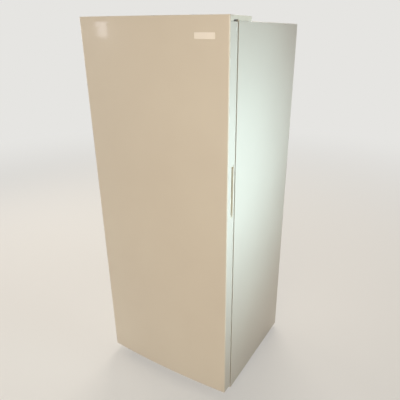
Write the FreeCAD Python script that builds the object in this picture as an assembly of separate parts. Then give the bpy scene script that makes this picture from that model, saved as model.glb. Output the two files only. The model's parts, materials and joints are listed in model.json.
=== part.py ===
"""Upright frost-free freezer: an insulated steel cabinet with one hinged door.

Millimetres, +Z up. The door faces -Y, and +X is on the right of someone who faces the door.
The origin is on the floor, under the middle of the freezer's own box.
"""
import FreeCAD, Part
import math
import os

Vector = FreeCAD.Vector

# --- Driving dimensions ------------------------------------------------------------------------
# Cabinet and door, as seen from outside
WIDTH = 708.0
CABINET_HEIGHT = 1704.0
CABINET_DEPTH = 588.0
FLOOR_GAP = 22.0
DOOR_RISE = 17.0
DOOR_BOTTOM = 43.0
DOOR_EDGE = 57.0
DOOR_BOW = 13.0
DOOR_GAP = 7.0
BEND = 5.0

# Sheet metal and moulded walls
SHEET = 1.0
PLATE = 2.0
LINER = 1.5
MOULDING = 2.0
RIM = 1.5
FRONT_FLANGE = 16.0
REAR_FLANGE = 15.0

# Insulated walls, measured from the outer sheet to the inner face of the liner
SIDE_WALL = 61.5
TOP_WALL = 63.5
BACK_WALL = 63.5
FLOOR_WALL = 73.0
DECK_WALL = 60.0
LINER_RADIUS = 12.0

# Machine bay, behind and below the step in the liner
DECK_RISE = 38.0
BAY_HEIGHT = 212.0
BAY_DEPTH = 230.0
CLOSE_FIT = 0.2
SLIDE_GAP = 0.4
RUNNING_FIT = 0.08
OVERCUT = 1.0

# Door hinge
PIN_FROM_SIDE = 14.0
PIN_FROM_BACK = 32.0
PIN_RADIUS = 4.0
BUSH_RADIUS = 7.0
BUSH_LENGTH = 18.0
HINGE_PLATE = 3.5
HINGE_EYE = 7.5
PIN_HEAD = 6.5
RECESS_DEPTH = 21.0
RECESS_LENGTH = 66.0
LIP = 3.5
COVER_LENGTH = 62.0
COVER_INSET = 4.0
COVER_BEHIND = 110.0
COVER_SKIRT_BEHIND = 7.5
COVER_WALL = 2.0
COVER_GAP = 1.0
COVER_ROUND = 6.0
COVER_REAR_ROUND = 3.0
SCREW_RADIUS = 2.5
SCREW_HEAD = 4.5
SCREW_HEAD_HEIGHT = 3.0
SCREW_LENGTH = 12.0
HINGE_SCREW_FIRST = 18.0
HINGE_SCREW_STEP = 25.0
HINGE_SCREW_COUNT = 3

# Door
CAP_WALL = 3.0
DOOR_FLANGE = 12.0
DYKE_INSET = 72.0
DYKE_WIDTH = 35.0
DYKE_DEPTH = 45.0
DYKE_BOTTOM = 67.0
DYKE_TOP = 93.0
GASKET_INSET = 16.0
GASKET_WIDTH = 20.0
GASKET_BASE = 2.0
GASKET_BULB = 13.0
GASKET_CLEAR = 0.3
BADGE_FROM_EDGE = 98.0
BADGE_DROP = 66.5
BADGE_WIDTH = 82.0
BADGE_HEIGHT = 22.0
BADGE_THICKNESS = 1.2
BADGE_ROUND = 2.0

# Grip pockets in both door edges
GRIP_BOTTOM = 985.0
GRIP_TOP = 1204.0
GRIP_FROM_FRONT = 28.5
GRIP_SLOT = 16.5
GRIP_DEPTH = 30.0
GRIP_RAMP = 22.0
GRIP_SLANT = 4.0

# Door bins
BIN_COUNT = 4
BIN_FIRST_GAP = 3.0
BIN_PITCH = 355.0
BIN_HEIGHT = 110.0
BIN_DEPTH = 104.0
BIN_WALL = 2.5
BIN_LUG = 6.0
BIN_LUG_HEIGHT = 12.0
BIN_LUG_DEPTH = 34.0
BIN_WINDOW = 34.0

# Shelves
SHELF_COUNT = 4
SHELF_FIRST = 362.0
SHELF_PITCH = 310.0
SHELF_GLASS = 4.0
SHELF_FRONT = 143.0
SHELF_REAR_GAP = 3.0
SHELF_TRIM = 14.0
SHELF_TRIM_WALL = 3.0
LEDGE_WIDTH = 8.0
LEDGE_HEIGHT = 8.0
LEDGE_GAP = 16.0

# Lift-out basket on the floor of the liner
BASKET_FRONT = 108.0
BASKET_HEIGHT = 205.0
BASKET_SIDE_GAP = 13.5
BASKET_REAR_GAP = 4.0
BASKET_WALL = 3.0
BASKET_SLOT = 8.0
BASKET_SLOT_PITCH = 24.0
BASKET_SLOT_MARGIN = 36.0
BASKET_GRIP = 120.0
BASKET_GRIP_HEIGHT = 26.0

# Air duct cover, with the evaporator behind it
DUCT_DEPTH = 64.0
DUCT_RETURN_SLOTS = 6
DUCT_SLOT = 6.0
DUCT_SLOT_PITCH = 16.0
DUCT_RETURN_MARGIN = 10.0
DUCT_OUTLET_LENGTH = 90.0
DUCT_OUTLET_INSET = 102.5
DUCT_OUTLET_DROP = 40.0
DUCT_OUTLET_SLOTS = 3
DUCT_GRILLE = 58.0
DUCT_RIB = 5.0

# Evaporator, its heater and its drain
EVAPORATOR_INSET = 92.5
EVAPORATOR_LOW = 424.0
EVAPORATOR_ROWS = 5
EVAPORATOR_PITCH = 36.0
EVAPORATOR_COLUMNS = 3
EVAPORATOR_COLUMN_PITCH = 15.0
EVAPORATOR_FINS = 21
COIL_TUBE = 4.0
FIN = 1.0
FIN_MARGIN = 6.0
COIL_LEAD = 14.0
COIL_BEND_SHARE = 0.45
HEATER_RADIUS = 4.0
HEATER_DROP = 30.0
HEATER_SPREAD = 24.0
TROUGH_MARGIN = 12.0
TROUGH_HEIGHT = 22.0
DRAIN_INSET = 40.0
DRAIN_RADIUS = 10.0
DRAIN_BORE = 8.0
DRAIN_END = 116.0

# Fans
FAN_Z = 700.0
FAN_RADIUS = 50.0
FAN_HUB = 16.0
FAN_BLADES = 5
FAN_CHORD = 30.0
FAN_TILT = 32.0
FAN_THICKNESS = 1.8
FAN_MOTOR_RADIUS = 26.0
FAN_MOTOR_LENGTH = 24.0
FAN_SHAFT = 2.0
FAN_SHAFT_GRIP = 12.0
FAN_CLEAR = 4.0
FAN_DEPTH = 16.0
FAN_STAY = 3.0
CONDENSER_FAN_GAP = 78.0
CONDENSER_FAN_RADIUS = 65.0
ORIFICE_CLEAR = 4.0

# Condenser and its water pan
CONDENSER_INSET = 46.0
CONDENSER_LENGTH = 190.0
CONDENSER_FRONT = 33.0
CONDENSER_LOW = 108.0
CONDENSER_ROWS = 5
CONDENSER_PITCH = 28.0
CONDENSER_COLUMNS = 3
CONDENSER_COLUMN_PITCH = 28.0
CONDENSER_FINS = 10
PAN_MARGIN = 10.0
PAN_HEIGHT = 30.0
PAN_WALL = 2.0
PAN_DEPTH = 190.0

# Compressor
COMPRESSOR_INSET = 184.0
COMPRESSOR_Y = 112.0
COMPRESSOR_RADIUS = 78.0
COMPRESSOR_HEIGHT = 152.0
COMPRESSOR_DOME = 34.0
COMPRESSOR_PLATE_X = 210.0
COMPRESSOR_PLATE_Y = 160.0
GROMMET_RADIUS = 12.0
GROMMET_HEIGHT = 16.0
GROMMET_INSET = 18.0
RELAY_SIZE = 56.0
RELAY_REACH = 32.0
LINE_RADIUS = 3.0
LINE_BEND = 18.0
SUCTION_BEND = 14.4
DISCHARGE_HEIGHT = 91.2
DRIER_RADIUS = 8.0
DRIER_LENGTH = 70.0
CAPILLARY_RADIUS = 1.6

# Rear cover of the machine bay
COVER_SETBACK = 2.0
LOUVRE_LENGTH = 96.0
LOUVRE_HEIGHT = 5.0
LOUVRE_PITCH = 15.0
LOUVRE_COLUMNS = 4
LOUVRE_ROWS = 8
LOUVRE_COLUMN_PITCH = 128.0
LOUVRE_FROM_DECK = 48.0
PANEL_SCREW_INSET = 64.0
PANEL_SCREW_HEAD = 1.8
PANEL_SCREW_RADIUS = 1.75
BUSH_HOLE = 10.0
CORD_BORE = 4.0
CORD_INSET = 54.0
CORD_Z = 96.0

# Feet and rollers
FOOT_INSET = 54.0
FOOT_SETBACK = 48.0
FOOT_PAD = 17.0
FOOT_PAD_HEIGHT = 8.0
FOOT_STEM = 5.0
FOOT_STEM_TOP = 5.0
FOOT_NUT = 11.0
FOOT_NUT_BOTTOM = 30.0
ROLLER_SETBACK = 52.0
ROLLER_RADIUS = 20.0
ROLLER_WIDTH = 22.0
ROLLER_AXLE = 3.0
ROLLER_CHEEK = 2.0
ROLLER_SIDE_GAP = 1.0
BRACKET_HALF = 20.0

# Control console under the ceiling of the liner
CONSOLE_HALF = 110.0
CONSOLE_FRONT = 106.0
CONSOLE_DEPTH = 120.0
CONSOLE_HEIGHT = 40.0
LENS_LEFT = -92.0
LENS_RIGHT = 28.0
LENS_SIZE = 64.0
LENS_DROP = 3.0
KNOB_X = 70.0
KNOB_RADIUS = 16.0
KNOB_LENGTH = 13.0
KNOB_GRIP = 5.0
KNOB_RIM = 1.0
KNOB_SHAFT = 3.0
KNOB_GAP = 1.0
THERMOSTAT_SIZE = 30.0
THERMOSTAT_DEPTH = 26.0
SWITCH_INSET = 144.0
SWITCH_LENGTH = 30.0
SWITCH_SIZE = 8.0
SWITCH_DROP = 20.0

# --- Places worked out from them ---------------------------------------------------------------
half = WIDTH / 2
overall_depth = DOOR_BOW + DOOR_EDGE + DOOR_GAP + CABINET_DEPTH
y_crown = -overall_depth / 2
y_corner = y_crown + DOOR_BOW
y_door_back = y_corner + DOOR_EDGE
y_face = y_door_back + DOOR_GAP
y_back = y_face + CABINET_DEPTH
z_top = FLOOR_GAP + CABINET_HEIGHT
z_door_top = z_top + DOOR_RISE
bow_radius = (half ** 2 + DOOR_BOW ** 2) / (2 * DOOR_BOW)

z_deck = FLOOR_GAP + DECK_RISE
z_bay = z_deck + BAY_HEIGHT
y_bay = y_back - BAY_DEPTH
y_rear_sheet = y_back - 2 * SHEET
y_bay_rear = y_back - COVER_SETBACK - SHEET

room_half = half - SIDE_WALL
room_back = y_back - BACK_WALL
room_floor = FLOOR_GAP + FLOOR_WALL
room_top = z_top - TOP_WALL
z_step = z_bay + DECK_WALL
y_step = y_bay - DECK_WALL

x_pin = half - PIN_FROM_SIDE
y_pin = y_door_back - PIN_FROM_BACK
z_recess = z_door_top - RECESS_DEPTH
z_skin_low = DOOR_BOTTOM + BUSH_LENGTH + CAP_WALL
z_skin_high = z_recess - BUSH_LENGTH - CAP_WALL
door_lining_half = half - DOOR_FLANGE
badge_x = half - BADGE_FROM_EDGE
badge_z = z_door_top - BADGE_DROP

y_duct = room_back - DUCT_DEPTH
shelf_levels = [SHELF_FIRST + SHELF_PITCH * i for i in range(SHELF_COUNT)]
y_shelf_front = y_face + SHELF_FRONT
y_shelf_rear = y_duct - SHELF_REAR_GAP
dyke_half = half - DYKE_INSET
dyke_room = dyke_half - DYKE_WIDTH
dyke_low = DOOR_BOTTOM + DYKE_BOTTOM
dyke_high = z_door_top - DYKE_TOP
bin_first = dyke_low + DYKE_WIDTH + BIN_LUG_HEIGHT + BIN_FIRST_GAP
bin_levels = [bin_first + BIN_PITCH * i for i in range(BIN_COUNT)]

evaporator_half = room_half - EVAPORATOR_INSET
trough_half = evaporator_half + TROUGH_MARGIN
x_drain = DRAIN_INSET - evaporator_half
x_duct_outlet = room_half - DUCT_OUTLET_INSET
condenser_left = CONDENSER_INSET - half
condenser_right = condenser_left + CONDENSER_LENGTH
x_condenser_fan = condenser_right + CONDENSER_FAN_GAP
x_compressor = half - COMPRESSOR_INSET
x_foot = half - FOOT_INSET
x_cord = half - CORD_INSET
x_panel_screw = half - PANEL_SCREW_INSET
x_switch = half - SWITCH_INSET
z_pan = z_deck + PLATE
y_drain = (y_duct + room_back) / 2
y_evaporator = y_drain
evaporator_columns = [y_evaporator + EVAPORATOR_COLUMN_PITCH * (i - (EVAPORATOR_COLUMNS - 1) / 2)
                      for i in range(EVAPORATOR_COLUMNS)]
condenser_columns = [y_bay + CONDENSER_FRONT + CONDENSER_COLUMN_PITCH * i
                     for i in range(CONDENSER_COLUMNS)]
y_condenser_fan = y_bay + BAY_DEPTH / 2
z_condenser_fan = z_deck + BAY_HEIGHT / 2
y_compressor = y_bay + COMPRESSOR_Y
z_compressor = z_pan + GROMMET_HEIGHT
y_foot = y_face + FOOT_SETBACK
y_roller = y_back - ROLLER_SETBACK
z_axle = ROLLER_RADIUS
y_console = y_face + CONSOLE_FRONT
z_console = room_top - CONSOLE_HEIGHT
z_knob = room_top - CONSOLE_HEIGHT / 2
hinge_screw_places = [y_face + HINGE_SCREW_FIRST + HINGE_SCREW_STEP * i
                      for i in range(HINGE_SCREW_COUNT)]


# --- Shape helpers -----------------------------------------------------------------------------
def box(x0, x1, y0, y1, z0, z1):
    """A block between two corners."""
    return Part.makeBox(x1 - x0, y1 - y0, z1 - z0, Vector(x0, y0, z0))


def rod(start, end, radius):
    """A round bar between two points."""
    first = Vector(*start)
    span = Vector(*end) - first
    return Part.makeCylinder(radius, span.Length, first, span)


def join(shapes):
    """One solid from shapes that meet or overlap."""
    return shapes[0].multiFuse(shapes[1:]).removeSplitter()


def cut(shape, tools):
    """A shape with every tool taken out of it."""
    return shape.cut(tools)


def group(shapes):
    """Separate solids kept side by side."""
    return Part.makeCompound(shapes)


def mirrored(shape):
    """The same shape on the other side of the middle plane X = 0."""
    return shape.mirror(Vector(0, 0, 0), Vector(1, 0, 0))


def runs_along(edge, axis):
    """True for a straight edge that is parallel to an axis."""
    if edge.Curve.TypeId != "Part::GeomLine":
        return False
    return abs(edge.tangentAt(edge.FirstParameter).dot(axis)) > 0.999


def rounded(shape, radius, axis, keep=lambda middle: True):
    """A shape with its straight edges along one axis rounded, where keep says so."""
    edges = [e for e in shape.Edges if runs_along(e, axis) and keep(e.CenterOfMass)]
    return shape.makeFillet(radius, edges)


X_AXIS = Vector(1, 0, 0)
Y_AXIS = Vector(0, 1, 0)
Z_AXIS = Vector(0, 0, 1)


def route(points, bend):
    """A wire of straight runs joined by tangent arcs of one radius."""
    corners = [Vector(*point) for point in points]
    edges = []
    start = corners[0]
    for before, corner, after in zip(corners, corners[1:], corners[2:]):
        back = (before - corner).normalize()
        ahead = (after - corner).normalize()
        half_angle = back.getAngle(ahead) / 2
        reach = bend / math.tan(half_angle)
        inward = (back + ahead).normalize()
        arc_start = corner + back * reach
        arc_end = corner + ahead * reach
        arc_middle = corner + inward * (bend / math.sin(half_angle) - bend)
        edges.append(Part.LineSegment(start, arc_start).toShape())
        edges.append(Part.Arc(arc_start, arc_middle, arc_end).toShape())
        start = arc_end
    edges.append(Part.LineSegment(start, corners[-1]).toShape())
    return Part.Wire(edges)


def tube(points, bend, radius):
    """A round bar along a bent route."""
    start = Vector(*points[0])
    heading = Vector(*points[1]) - start
    section = Part.Wire(Part.Circle(start, heading, radius).toShape())
    return route(points, bend).makePipeShell([section], True, False)


def coil_points(left, right, columns, low, rows, pitch, lead):
    """The corners of one serpentine, that enters on the right and climbs column by column."""
    points = [(right + lead, columns[0], low)]
    here, there = right, left
    heights = [low + pitch * i for i in range(rows)]
    for column in columns:
        for height in heights:
            points.append((here, column, height))
            points.append((there, column, height))
            here, there = there, here
        heights.reverse()
    points.pop(1)
    last = points.pop()
    outward = lead if last[0] == right else -lead
    points.append((last[0] + outward, last[1], last[2]))
    return points


def finned_coil(left, right, columns, low, rows, pitch, fins, lead, end_low, end_rear):
    """A serpentine through thin fins. The two end fins reach down and back to carry it."""
    column_pitch = columns[1] - columns[0]
    bend = COIL_BEND_SHARE * min(pitch, column_pitch)
    serpentine = tube(coil_points(left, right, columns, low, rows, pitch, lead), bend, COIL_TUBE)
    front = columns[0] - COIL_TUBE - FIN_MARGIN / 2
    rear = columns[-1] + COIL_TUBE + FIN_MARGIN / 2
    bottom = low - COIL_TUBE - FIN_MARGIN
    top = low + pitch * (rows - 1) + COIL_TUBE + FIN_MARGIN
    inner_left = left + pitch
    inner_right = right - pitch
    step = (inner_right - inner_left - FIN) / (fins - 1)
    plates = []
    for i in range(fins):
        x = inner_left + step * i
        is_end = i in (0, fins - 1)
        plates.append(box(x, x + FIN, front, end_rear if is_end else rear,
                          end_low if is_end else bottom, top))
    return join([serpentine] + plates)


def fan_wheel(radius, length, shaft_grip):
    """Hub, blades and shaft about the Z axis: the blades fill z 0..length, the shaft is below."""
    hub = Part.makeCylinder(FAN_HUB, length)
    shaft = Part.makeCylinder(FAN_SHAFT, shaft_grip, Vector(0, 0, -shaft_grip))
    blades = []
    for i in range(FAN_BLADES):
        blade = box(FAN_HUB / 2, radius + FAN_HUB, -FAN_CHORD / 2, FAN_CHORD / 2,
                    -FAN_THICKNESS / 2, FAN_THICKNESS / 2)
        blade.rotate(Vector(0, 0, 0), X_AXIS, FAN_TILT)
        blade.translate(Vector(0, 0, length / 2))
        blade.rotate(Vector(0, 0, 0), Z_AXIS, 360.0 / FAN_BLADES * i)
        blades.append(blade)
    swept = join(blades).common(Part.makeCylinder(radius, length))
    return join([hub, shaft, swept])


def turned(shape, axis, angle, place):
    """A shape turned about the origin and then put in its place."""
    copy = shape.copy()
    copy.rotate(Vector(0, 0, 0), axis, angle)
    copy.translate(Vector(*place))
    return copy


def slots(x_middle, x_length, y0, y1, z_low, height, pitch, count):
    """Level slots one above the other, that go through from y0 to y1."""
    return [box(x_middle - x_length / 2, x_middle + x_length / 2, y0, y1,
                z_low + pitch * i, z_low + pitch * i + height) for i in range(count)]


def save(name, shape):
    """Write one sub-part."""
    if not shape.isValid():
        raise ValueError(name + " is not a valid shape")
    shape.exportStep("parts/" + name + ".step")


# --- Cabinet ------------------------------------------------------------------------------------
def cabinet_block(inset):
    """The cabinet's outside, drawn in by inset, with its top and rear edges bent round."""
    block = box(inset - half, half - inset, y_face, y_back - inset, FLOOR_GAP, z_top - inset)

    def is_bent(edge):
        middle = edge.CenterOfMass
        upright = runs_along(edge, Z_AXIS) and middle.y > 0
        top_side = runs_along(edge, Y_AXIS) and middle.z > CABINET_HEIGHT / 2
        top_rear = runs_along(edge, X_AXIS) and middle.y > 0 and middle.z > CABINET_HEIGHT / 2
        return upright or top_side or top_rear

    return block.makeFillet(BEND - inset, [e for e in block.Edges if is_bent(e)])


def room(inset):
    """The room inside the liner, drawn in by inset, with the step over the machine bay."""
    block = box(inset - room_half, room_half - inset, y_face, room_back - inset,
                room_floor + inset, room_top - inset)
    block = rounded(block, LINER_RADIUS - inset, Y_AXIS)
    step = box(-half, half, y_step - inset, y_back, FLOOR_GAP, z_step + inset)
    return cut(block, [step])


def hinge_screw_shanks():
    """Shanks of the top hinge screws, and of the plugs in the spare holes on the left."""
    shanks = []
    for y in hinge_screw_places:
        for x in (x_pin, -x_pin):
            shanks.append(rod((x, y, z_top - SCREW_LENGTH), (x, y, z_top + HINGE_PLATE), SCREW_RADIUS))
    return shanks


def panel_screw_places():
    """X and Z of the screws that hold the rear cover of the machine bay."""
    heights = (z_pan + REAR_FLANGE / 2, z_bay - SHEET - REAR_FLANGE / 2)
    return [(x, z) for x in (-x_panel_screw, 0.0, x_panel_screw) for z in heights]


def panel_screw_holes():
    """Clearance holes for those screws, through the cover and the flange behind it."""
    return [rod((x, y_bay_rear - 2 * SHEET, z), (x, y_back, z), PANEL_SCREW_RADIUS + CLOSE_FIT)
            for x, z in panel_screw_places()]


def drain_hole(radius):
    """The way of the drain tube down through the step."""
    return rod((x_drain, y_drain, DRAIN_END), (x_drain, y_drain, z_step + SHEET), radius)


def suction_hole(radius):
    """The way of the suction line down through the step."""
    return rod((x_suction, y_suction, z_pan), (x_suction, y_suction, z_step + SHEET), radius)


def capillary_hole(radius):
    """The way of the capillary tube up through the step."""
    return rod((x_capillary, y_capillary, z_pan), (x_capillary, y_capillary, z_step + SHEET), radius)


x_suction = evaporator_half + COIL_LEAD + LINE_BEND
y_suction = evaporator_columns[0]
x_capillary = -x_suction
y_capillary = evaporator_columns[-1]


def line_holes(clearance):
    """All three ways through the step, each as wide as its tube and the clearance."""
    return [drain_hole(DRAIN_RADIUS + clearance), suction_hole(LINE_RADIUS + clearance),
            capillary_hole(CAPILLARY_RADIUS + clearance)]


def outer_shell():
    """The folded wrapper: both sides and the top, with flanges at the front, rear and bottom."""
    shell = cut(cabinet_block(0), [cabinet_block(SHEET)])
    inside = half - SHEET
    shell = cut(shell, [
        box(-inside, inside, y_face - SHEET, y_back + SHEET, FLOOR_GAP - SHEET, FLOOR_GAP + SHEET),
        box(-half + REAR_FLANGE, half - REAR_FLANGE, 0, y_back + SHEET,
            FLOOR_GAP, z_top - REAR_FLANGE),
        box(-inside, inside, y_back - BEND, y_back + SHEET, FLOOR_GAP, z_bay)])
    face = box(-inside, inside, y_face, y_face + SHEET, FLOOR_GAP, z_top - SHEET)
    opening = box(-half + FRONT_FLANGE, half - FRONT_FLANGE, y_face - SHEET, y_face + 2 * SHEET,
                  FLOOR_GAP - SHEET, z_top - FRONT_FLANGE)
    skirt = box(half - FRONT_FLANGE, inside, y_face, y_back - BEND, FLOOR_GAP, FLOOR_GAP + SHEET)
    shell = join([shell, cut(face, [opening]), skirt, mirrored(skirt)])
    return cut(shell, hinge_screw_shanks())


def rear_sheet():
    """The flat rear panel, behind the wrapper's rear flanges and above the machine bay."""
    return box(-half + BEND + SHEET, half - BEND - SHEET, y_rear_sheet, y_rear_sheet + SHEET,
               z_bay, z_top - BEND - SHEET)


def bottom_deck():
    """The folded floor plate: level at the front, up and over the machine bay at the rear."""
    inside = half - SHEET
    y_front = y_face + FRONT_FLANGE + RIM
    floor = box(-inside, inside, y_front, y_bay, z_deck, z_deck + SHEET)
    riser = box(-inside, inside, y_bay, y_bay + SHEET, z_deck, z_bay)
    roof = box(-inside, inside, y_bay, y_bay_rear, z_bay - SHEET, z_bay)
    hem = box(-inside, inside, y_bay_rear - SHEET, y_bay_rear, z_bay - REAR_FLANGE, z_bay)
    deck = join([floor, riser, roof, hem])
    return cut(deck, line_holes(CLOSE_FIT) + panel_screw_holes())


def base_front_rail():
    """The channel across the bottom of the cabinet's front, between the side flanges."""
    inside = half - FRONT_FLANGE
    y_rear = y_face + FRONT_FLANGE + RIM
    block = box(-inside, inside, y_face, y_rear, FLOOR_GAP + RIM, z_deck + RIM)
    hollow = box(-half, half, y_face + RIM, y_rear + RIM, FLOOR_GAP + 2 * RIM, z_deck)
    shanks = [rod((x, y_face - RIM, z), (x, y_rear, z), SCREW_RADIUS) for x, z in bottom_screw_places()]
    return cut(block, [hollow] + shanks)


def foam_regions():
    """Where each slab of foam lies: floor, riser, step, walls, top and back, and the four bends."""
    side = room_half + LINER
    flat = room_half - LINER_RADIUS
    low = room_floor - LINER
    high = room_top + LINER
    low_bend = room_floor + LINER_RADIUS
    high_bend = room_top - LINER_RADIUS
    front = y_step + LINER
    rear = room_back + LINER
    level = z_step - LINER
    middle = [box(-flat, flat, y_face, front, FLOOR_GAP, low),
              box(-half, half, front, y_bay, FLOOR_GAP, z_bay),
              box(-half, half, front, rear, z_bay, level),
              box(-flat, flat, y_face, rear, high, z_top),
              box(-half, half, rear, y_back, z_bay, z_top)]
    right = [box(flat, half, y_face, front, FLOOR_GAP, low_bend),
             box(side, half, y_face, front, low_bend, high_bend),
             box(side, half, front, rear, level, high_bend),
             box(flat, half, y_face, rear, high_bend, z_top)]
    return middle + right + [mirrored(region) for region in right]


def foam_insulation():
    """The rigid foam between the steel and the liner, drawn as slabs that meet face to face."""
    body = cabinet_block(SHEET).common(
        box(-half, half, y_face + LINER, y_rear_sheet, z_deck + SHEET, z_top))
    bay = box(-half, half, y_bay, y_back, FLOOR_GAP, z_bay)
    front_rail = box(-half, half, y_face, y_face + FRONT_FLANGE + RIM, FLOOR_GAP, z_deck + RIM)
    body = cut(body, [bay, front_rail, room(-LINER), reed_switch()] + line_holes(0) + hinge_screw_shanks())
    return group([body.common(region) for region in foam_regions()])


def inner_liner():
    """The vacuum-formed tub, with its front rim, the shelf ledges and the ribs of the duct cover."""
    tub = room(-LINER)
    rim = box(-half + FRONT_FLANGE, half - FRONT_FLANGE, y_face, y_face + LINER,
              z_deck + RIM, z_top - FRONT_FLANGE)
    ledges = []
    for level in shelf_levels:
        ledge = box(room_half - LEDGE_WIDTH, room_half + LINER / 2, y_shelf_front + LEDGE_GAP,
                    y_shelf_rear - LEDGE_GAP, level - LEDGE_HEIGHT, level)
        ledges += [ledge, mirrored(ledge)]
    y_rib = y_duct + MOULDING
    rib = box(room_half - DUCT_RIB, room_half + LINER / 2, y_rib, y_rib + DUCT_RIB, z_step,
              room_top - LINER_RADIUS)
    liner = cut(join([tub, rim]), [room(0)])
    return cut(join([liner, rib, mirrored(rib)] + ledges), line_holes(CLOSE_FIT))


def base_pan():
    """The steel floor of the machine bay, with a flange for the rear cover."""
    inside = half - SHEET
    floor = box(-inside, inside, y_bay + SHEET, y_bay_rear, z_deck, z_pan)
    hem = box(-inside, inside, y_bay_rear - SHEET, y_bay_rear, z_deck, z_pan + REAR_FLANGE)
    return cut(join([floor, hem]), panel_screw_holes())


def rear_machine_cover():
    """The louvred panel that closes the machine bay."""
    panel = box(-half + BEND + SHEET, half - BEND - SHEET, y_bay_rear, y_bay_rear + SHEET,
                z_deck, z_bay)
    openings = []
    for column in range(LOUVRE_COLUMNS):
        x = LOUVRE_COLUMN_PITCH * (column - (LOUVRE_COLUMNS - 1) / 2)
        openings += slots(x, LOUVRE_LENGTH, y_bay_rear - SHEET, y_back, z_deck + LOUVRE_FROM_DECK,
                          LOUVRE_HEIGHT, LOUVRE_PITCH, LOUVRE_ROWS)
    openings.append(rod((x_cord, y_bay_rear - SHEET, CORD_Z), (x_cord, y_back, CORD_Z), BUSH_HOLE))
    return cut(panel, openings + panel_screw_holes())


def cord_inlet_bush():
    """The rubber bush in the rear cover that a supply cord would pass through."""
    y_out = y_bay_rear + SHEET
    body = rod((x_cord, y_bay_rear - PLATE, CORD_Z), (x_cord, y_out, CORD_Z), BUSH_HOLE)
    collar = rod((x_cord, y_out, CORD_Z), (x_cord, y_out + PANEL_SCREW_HEAD, CORD_Z),
                 BUSH_HOLE + 2 * MOULDING)
    bore = rod((x_cord, y_bay_rear - 2 * PLATE, CORD_Z), (x_cord, y_back, CORD_Z), CORD_BORE)
    return cut(join([body, collar]), [bore])


# --- Hinges -------------------------------------------------------------------------------------
def bottom_screw_places():
    """X and Z of the two screws that hold the bottom hinge."""
    z = FLOOR_GAP + RIM + SCREW_HEAD + SHEET
    return [(x_pin - COVER_LENGTH + SCREW_HEAD * 2, z), (x_pin - COVER_LENGTH / 2, z)]


def top_hinge_bracket():
    """The plate screwed to the cabinet's top, that reaches over the door to the pin."""
    y_rear = hinge_screw_places[-1] + SCREW_HEAD + PLATE
    z_high = z_top + HINGE_PLATE
    arm_left = x_pin - COVER_LENGTH / 2
    pad = box(arm_left, x_pin + HINGE_EYE, y_face, y_rear, z_top, z_high)
    eye = rod((x_pin, y_pin, z_top), (x_pin, y_pin, z_high), HINGE_EYE)
    arm = box(x_pin - HINGE_EYE, x_pin + HINGE_EYE, y_pin, y_face, z_top, z_high)
    pin_hole = rod((x_pin, y_pin, z_top), (x_pin, y_pin, z_high), PIN_RADIUS)
    return cut(join([arm, pad, eye]), [pin_hole] + hinge_screw_shanks())


def bottom_hinge_bracket():
    """The angle under the door: one leg on the front rail, one leg with the pin."""
    z_high = DOOR_BOTTOM - COVER_GAP - PLATE
    right = x_pin + HINGE_EYE
    upright = box(x_pin - COVER_LENGTH, right, y_face - HINGE_PLATE, y_face, FLOOR_GAP + RIM, z_high)
    leg = box(x_pin - HINGE_EYE, right, y_pin, y_face, z_high - HINGE_PLATE, z_high)
    eye = rod((x_pin, y_pin, z_high - HINGE_PLATE), (x_pin, y_pin, z_high), HINGE_EYE)
    pin_hole = rod((x_pin, y_pin, FLOOR_GAP), (x_pin, y_pin, DOOR_BOTTOM), PIN_RADIUS)
    shanks = [rod((x, y_face - 2 * HINGE_PLATE, z), (x, y_face + RIM, z), SCREW_RADIUS)
              for x, z in bottom_screw_places()]
    return cut(join([upright, leg, eye]), [pin_hole] + shanks)


def pins_and_axles():
    """The two pins that the door turns on, each with its head or collar, and the roller axles."""
    z_eye = DOOR_BOTTOM - COVER_GAP - PLATE
    top_head = z_top + HINGE_PLATE
    top = join([rod((x_pin, y_pin, z_recess - BUSH_LENGTH + PLATE), (x_pin, y_pin, top_head), PIN_RADIUS),
                rod((x_pin, y_pin, top_head), (x_pin, y_pin, top_head + PLATE), PIN_HEAD)])
    low = join([rod((x_pin, y_pin, z_eye - HINGE_PLATE), (x_pin, y_pin, DOOR_BOTTOM + BUSH_LENGTH - PLATE),
                    PIN_RADIUS),
                rod((x_pin, y_pin, z_eye), (x_pin, y_pin, DOOR_BOTTOM - GASKET_CLEAR), BUSH_RADIUS)])
    return group([top, low, roller_axle(-1), roller_axle(1)])


def hinge_cover():
    """The moulded cover over the top hinge, level with the top of the door."""
    left = x_pin - COVER_LENGTH
    right = half - COVER_INSET
    front = y_corner + LIP + COVER_GAP
    rear = y_face + COVER_BEHIND

    def body(inset, low, high):
        block = box(left + inset, right - inset, front + inset, rear - inset, low, high)
        block = rounded(block, COVER_ROUND - inset, Z_AXIS, lambda middle: middle.y < y_face)
        return rounded(block, COVER_REAR_ROUND - inset, Z_AXIS, lambda middle: middle.y > rear - COVER_ROUND)

    y_skirt = y_pin + COVER_SKIRT_BEHIND
    upper = rounded(body(0, z_top, z_door_top), MOULDING, X_AXIS, lambda middle: middle.z > z_top + MOULDING)
    skirt = body(0, z_recess + COVER_GAP, z_top).common(box(left, right, front, y_skirt, z_recess, z_top))
    hollow = body(COVER_WALL, z_recess, z_door_top - COVER_WALL)
    arm_slot = box(left, right, y_skirt, y_face, z_top, z_top + HINGE_PLATE + CLOSE_FIT)
    return cut(join([upper, skirt]), [hollow, arm_slot])


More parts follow.
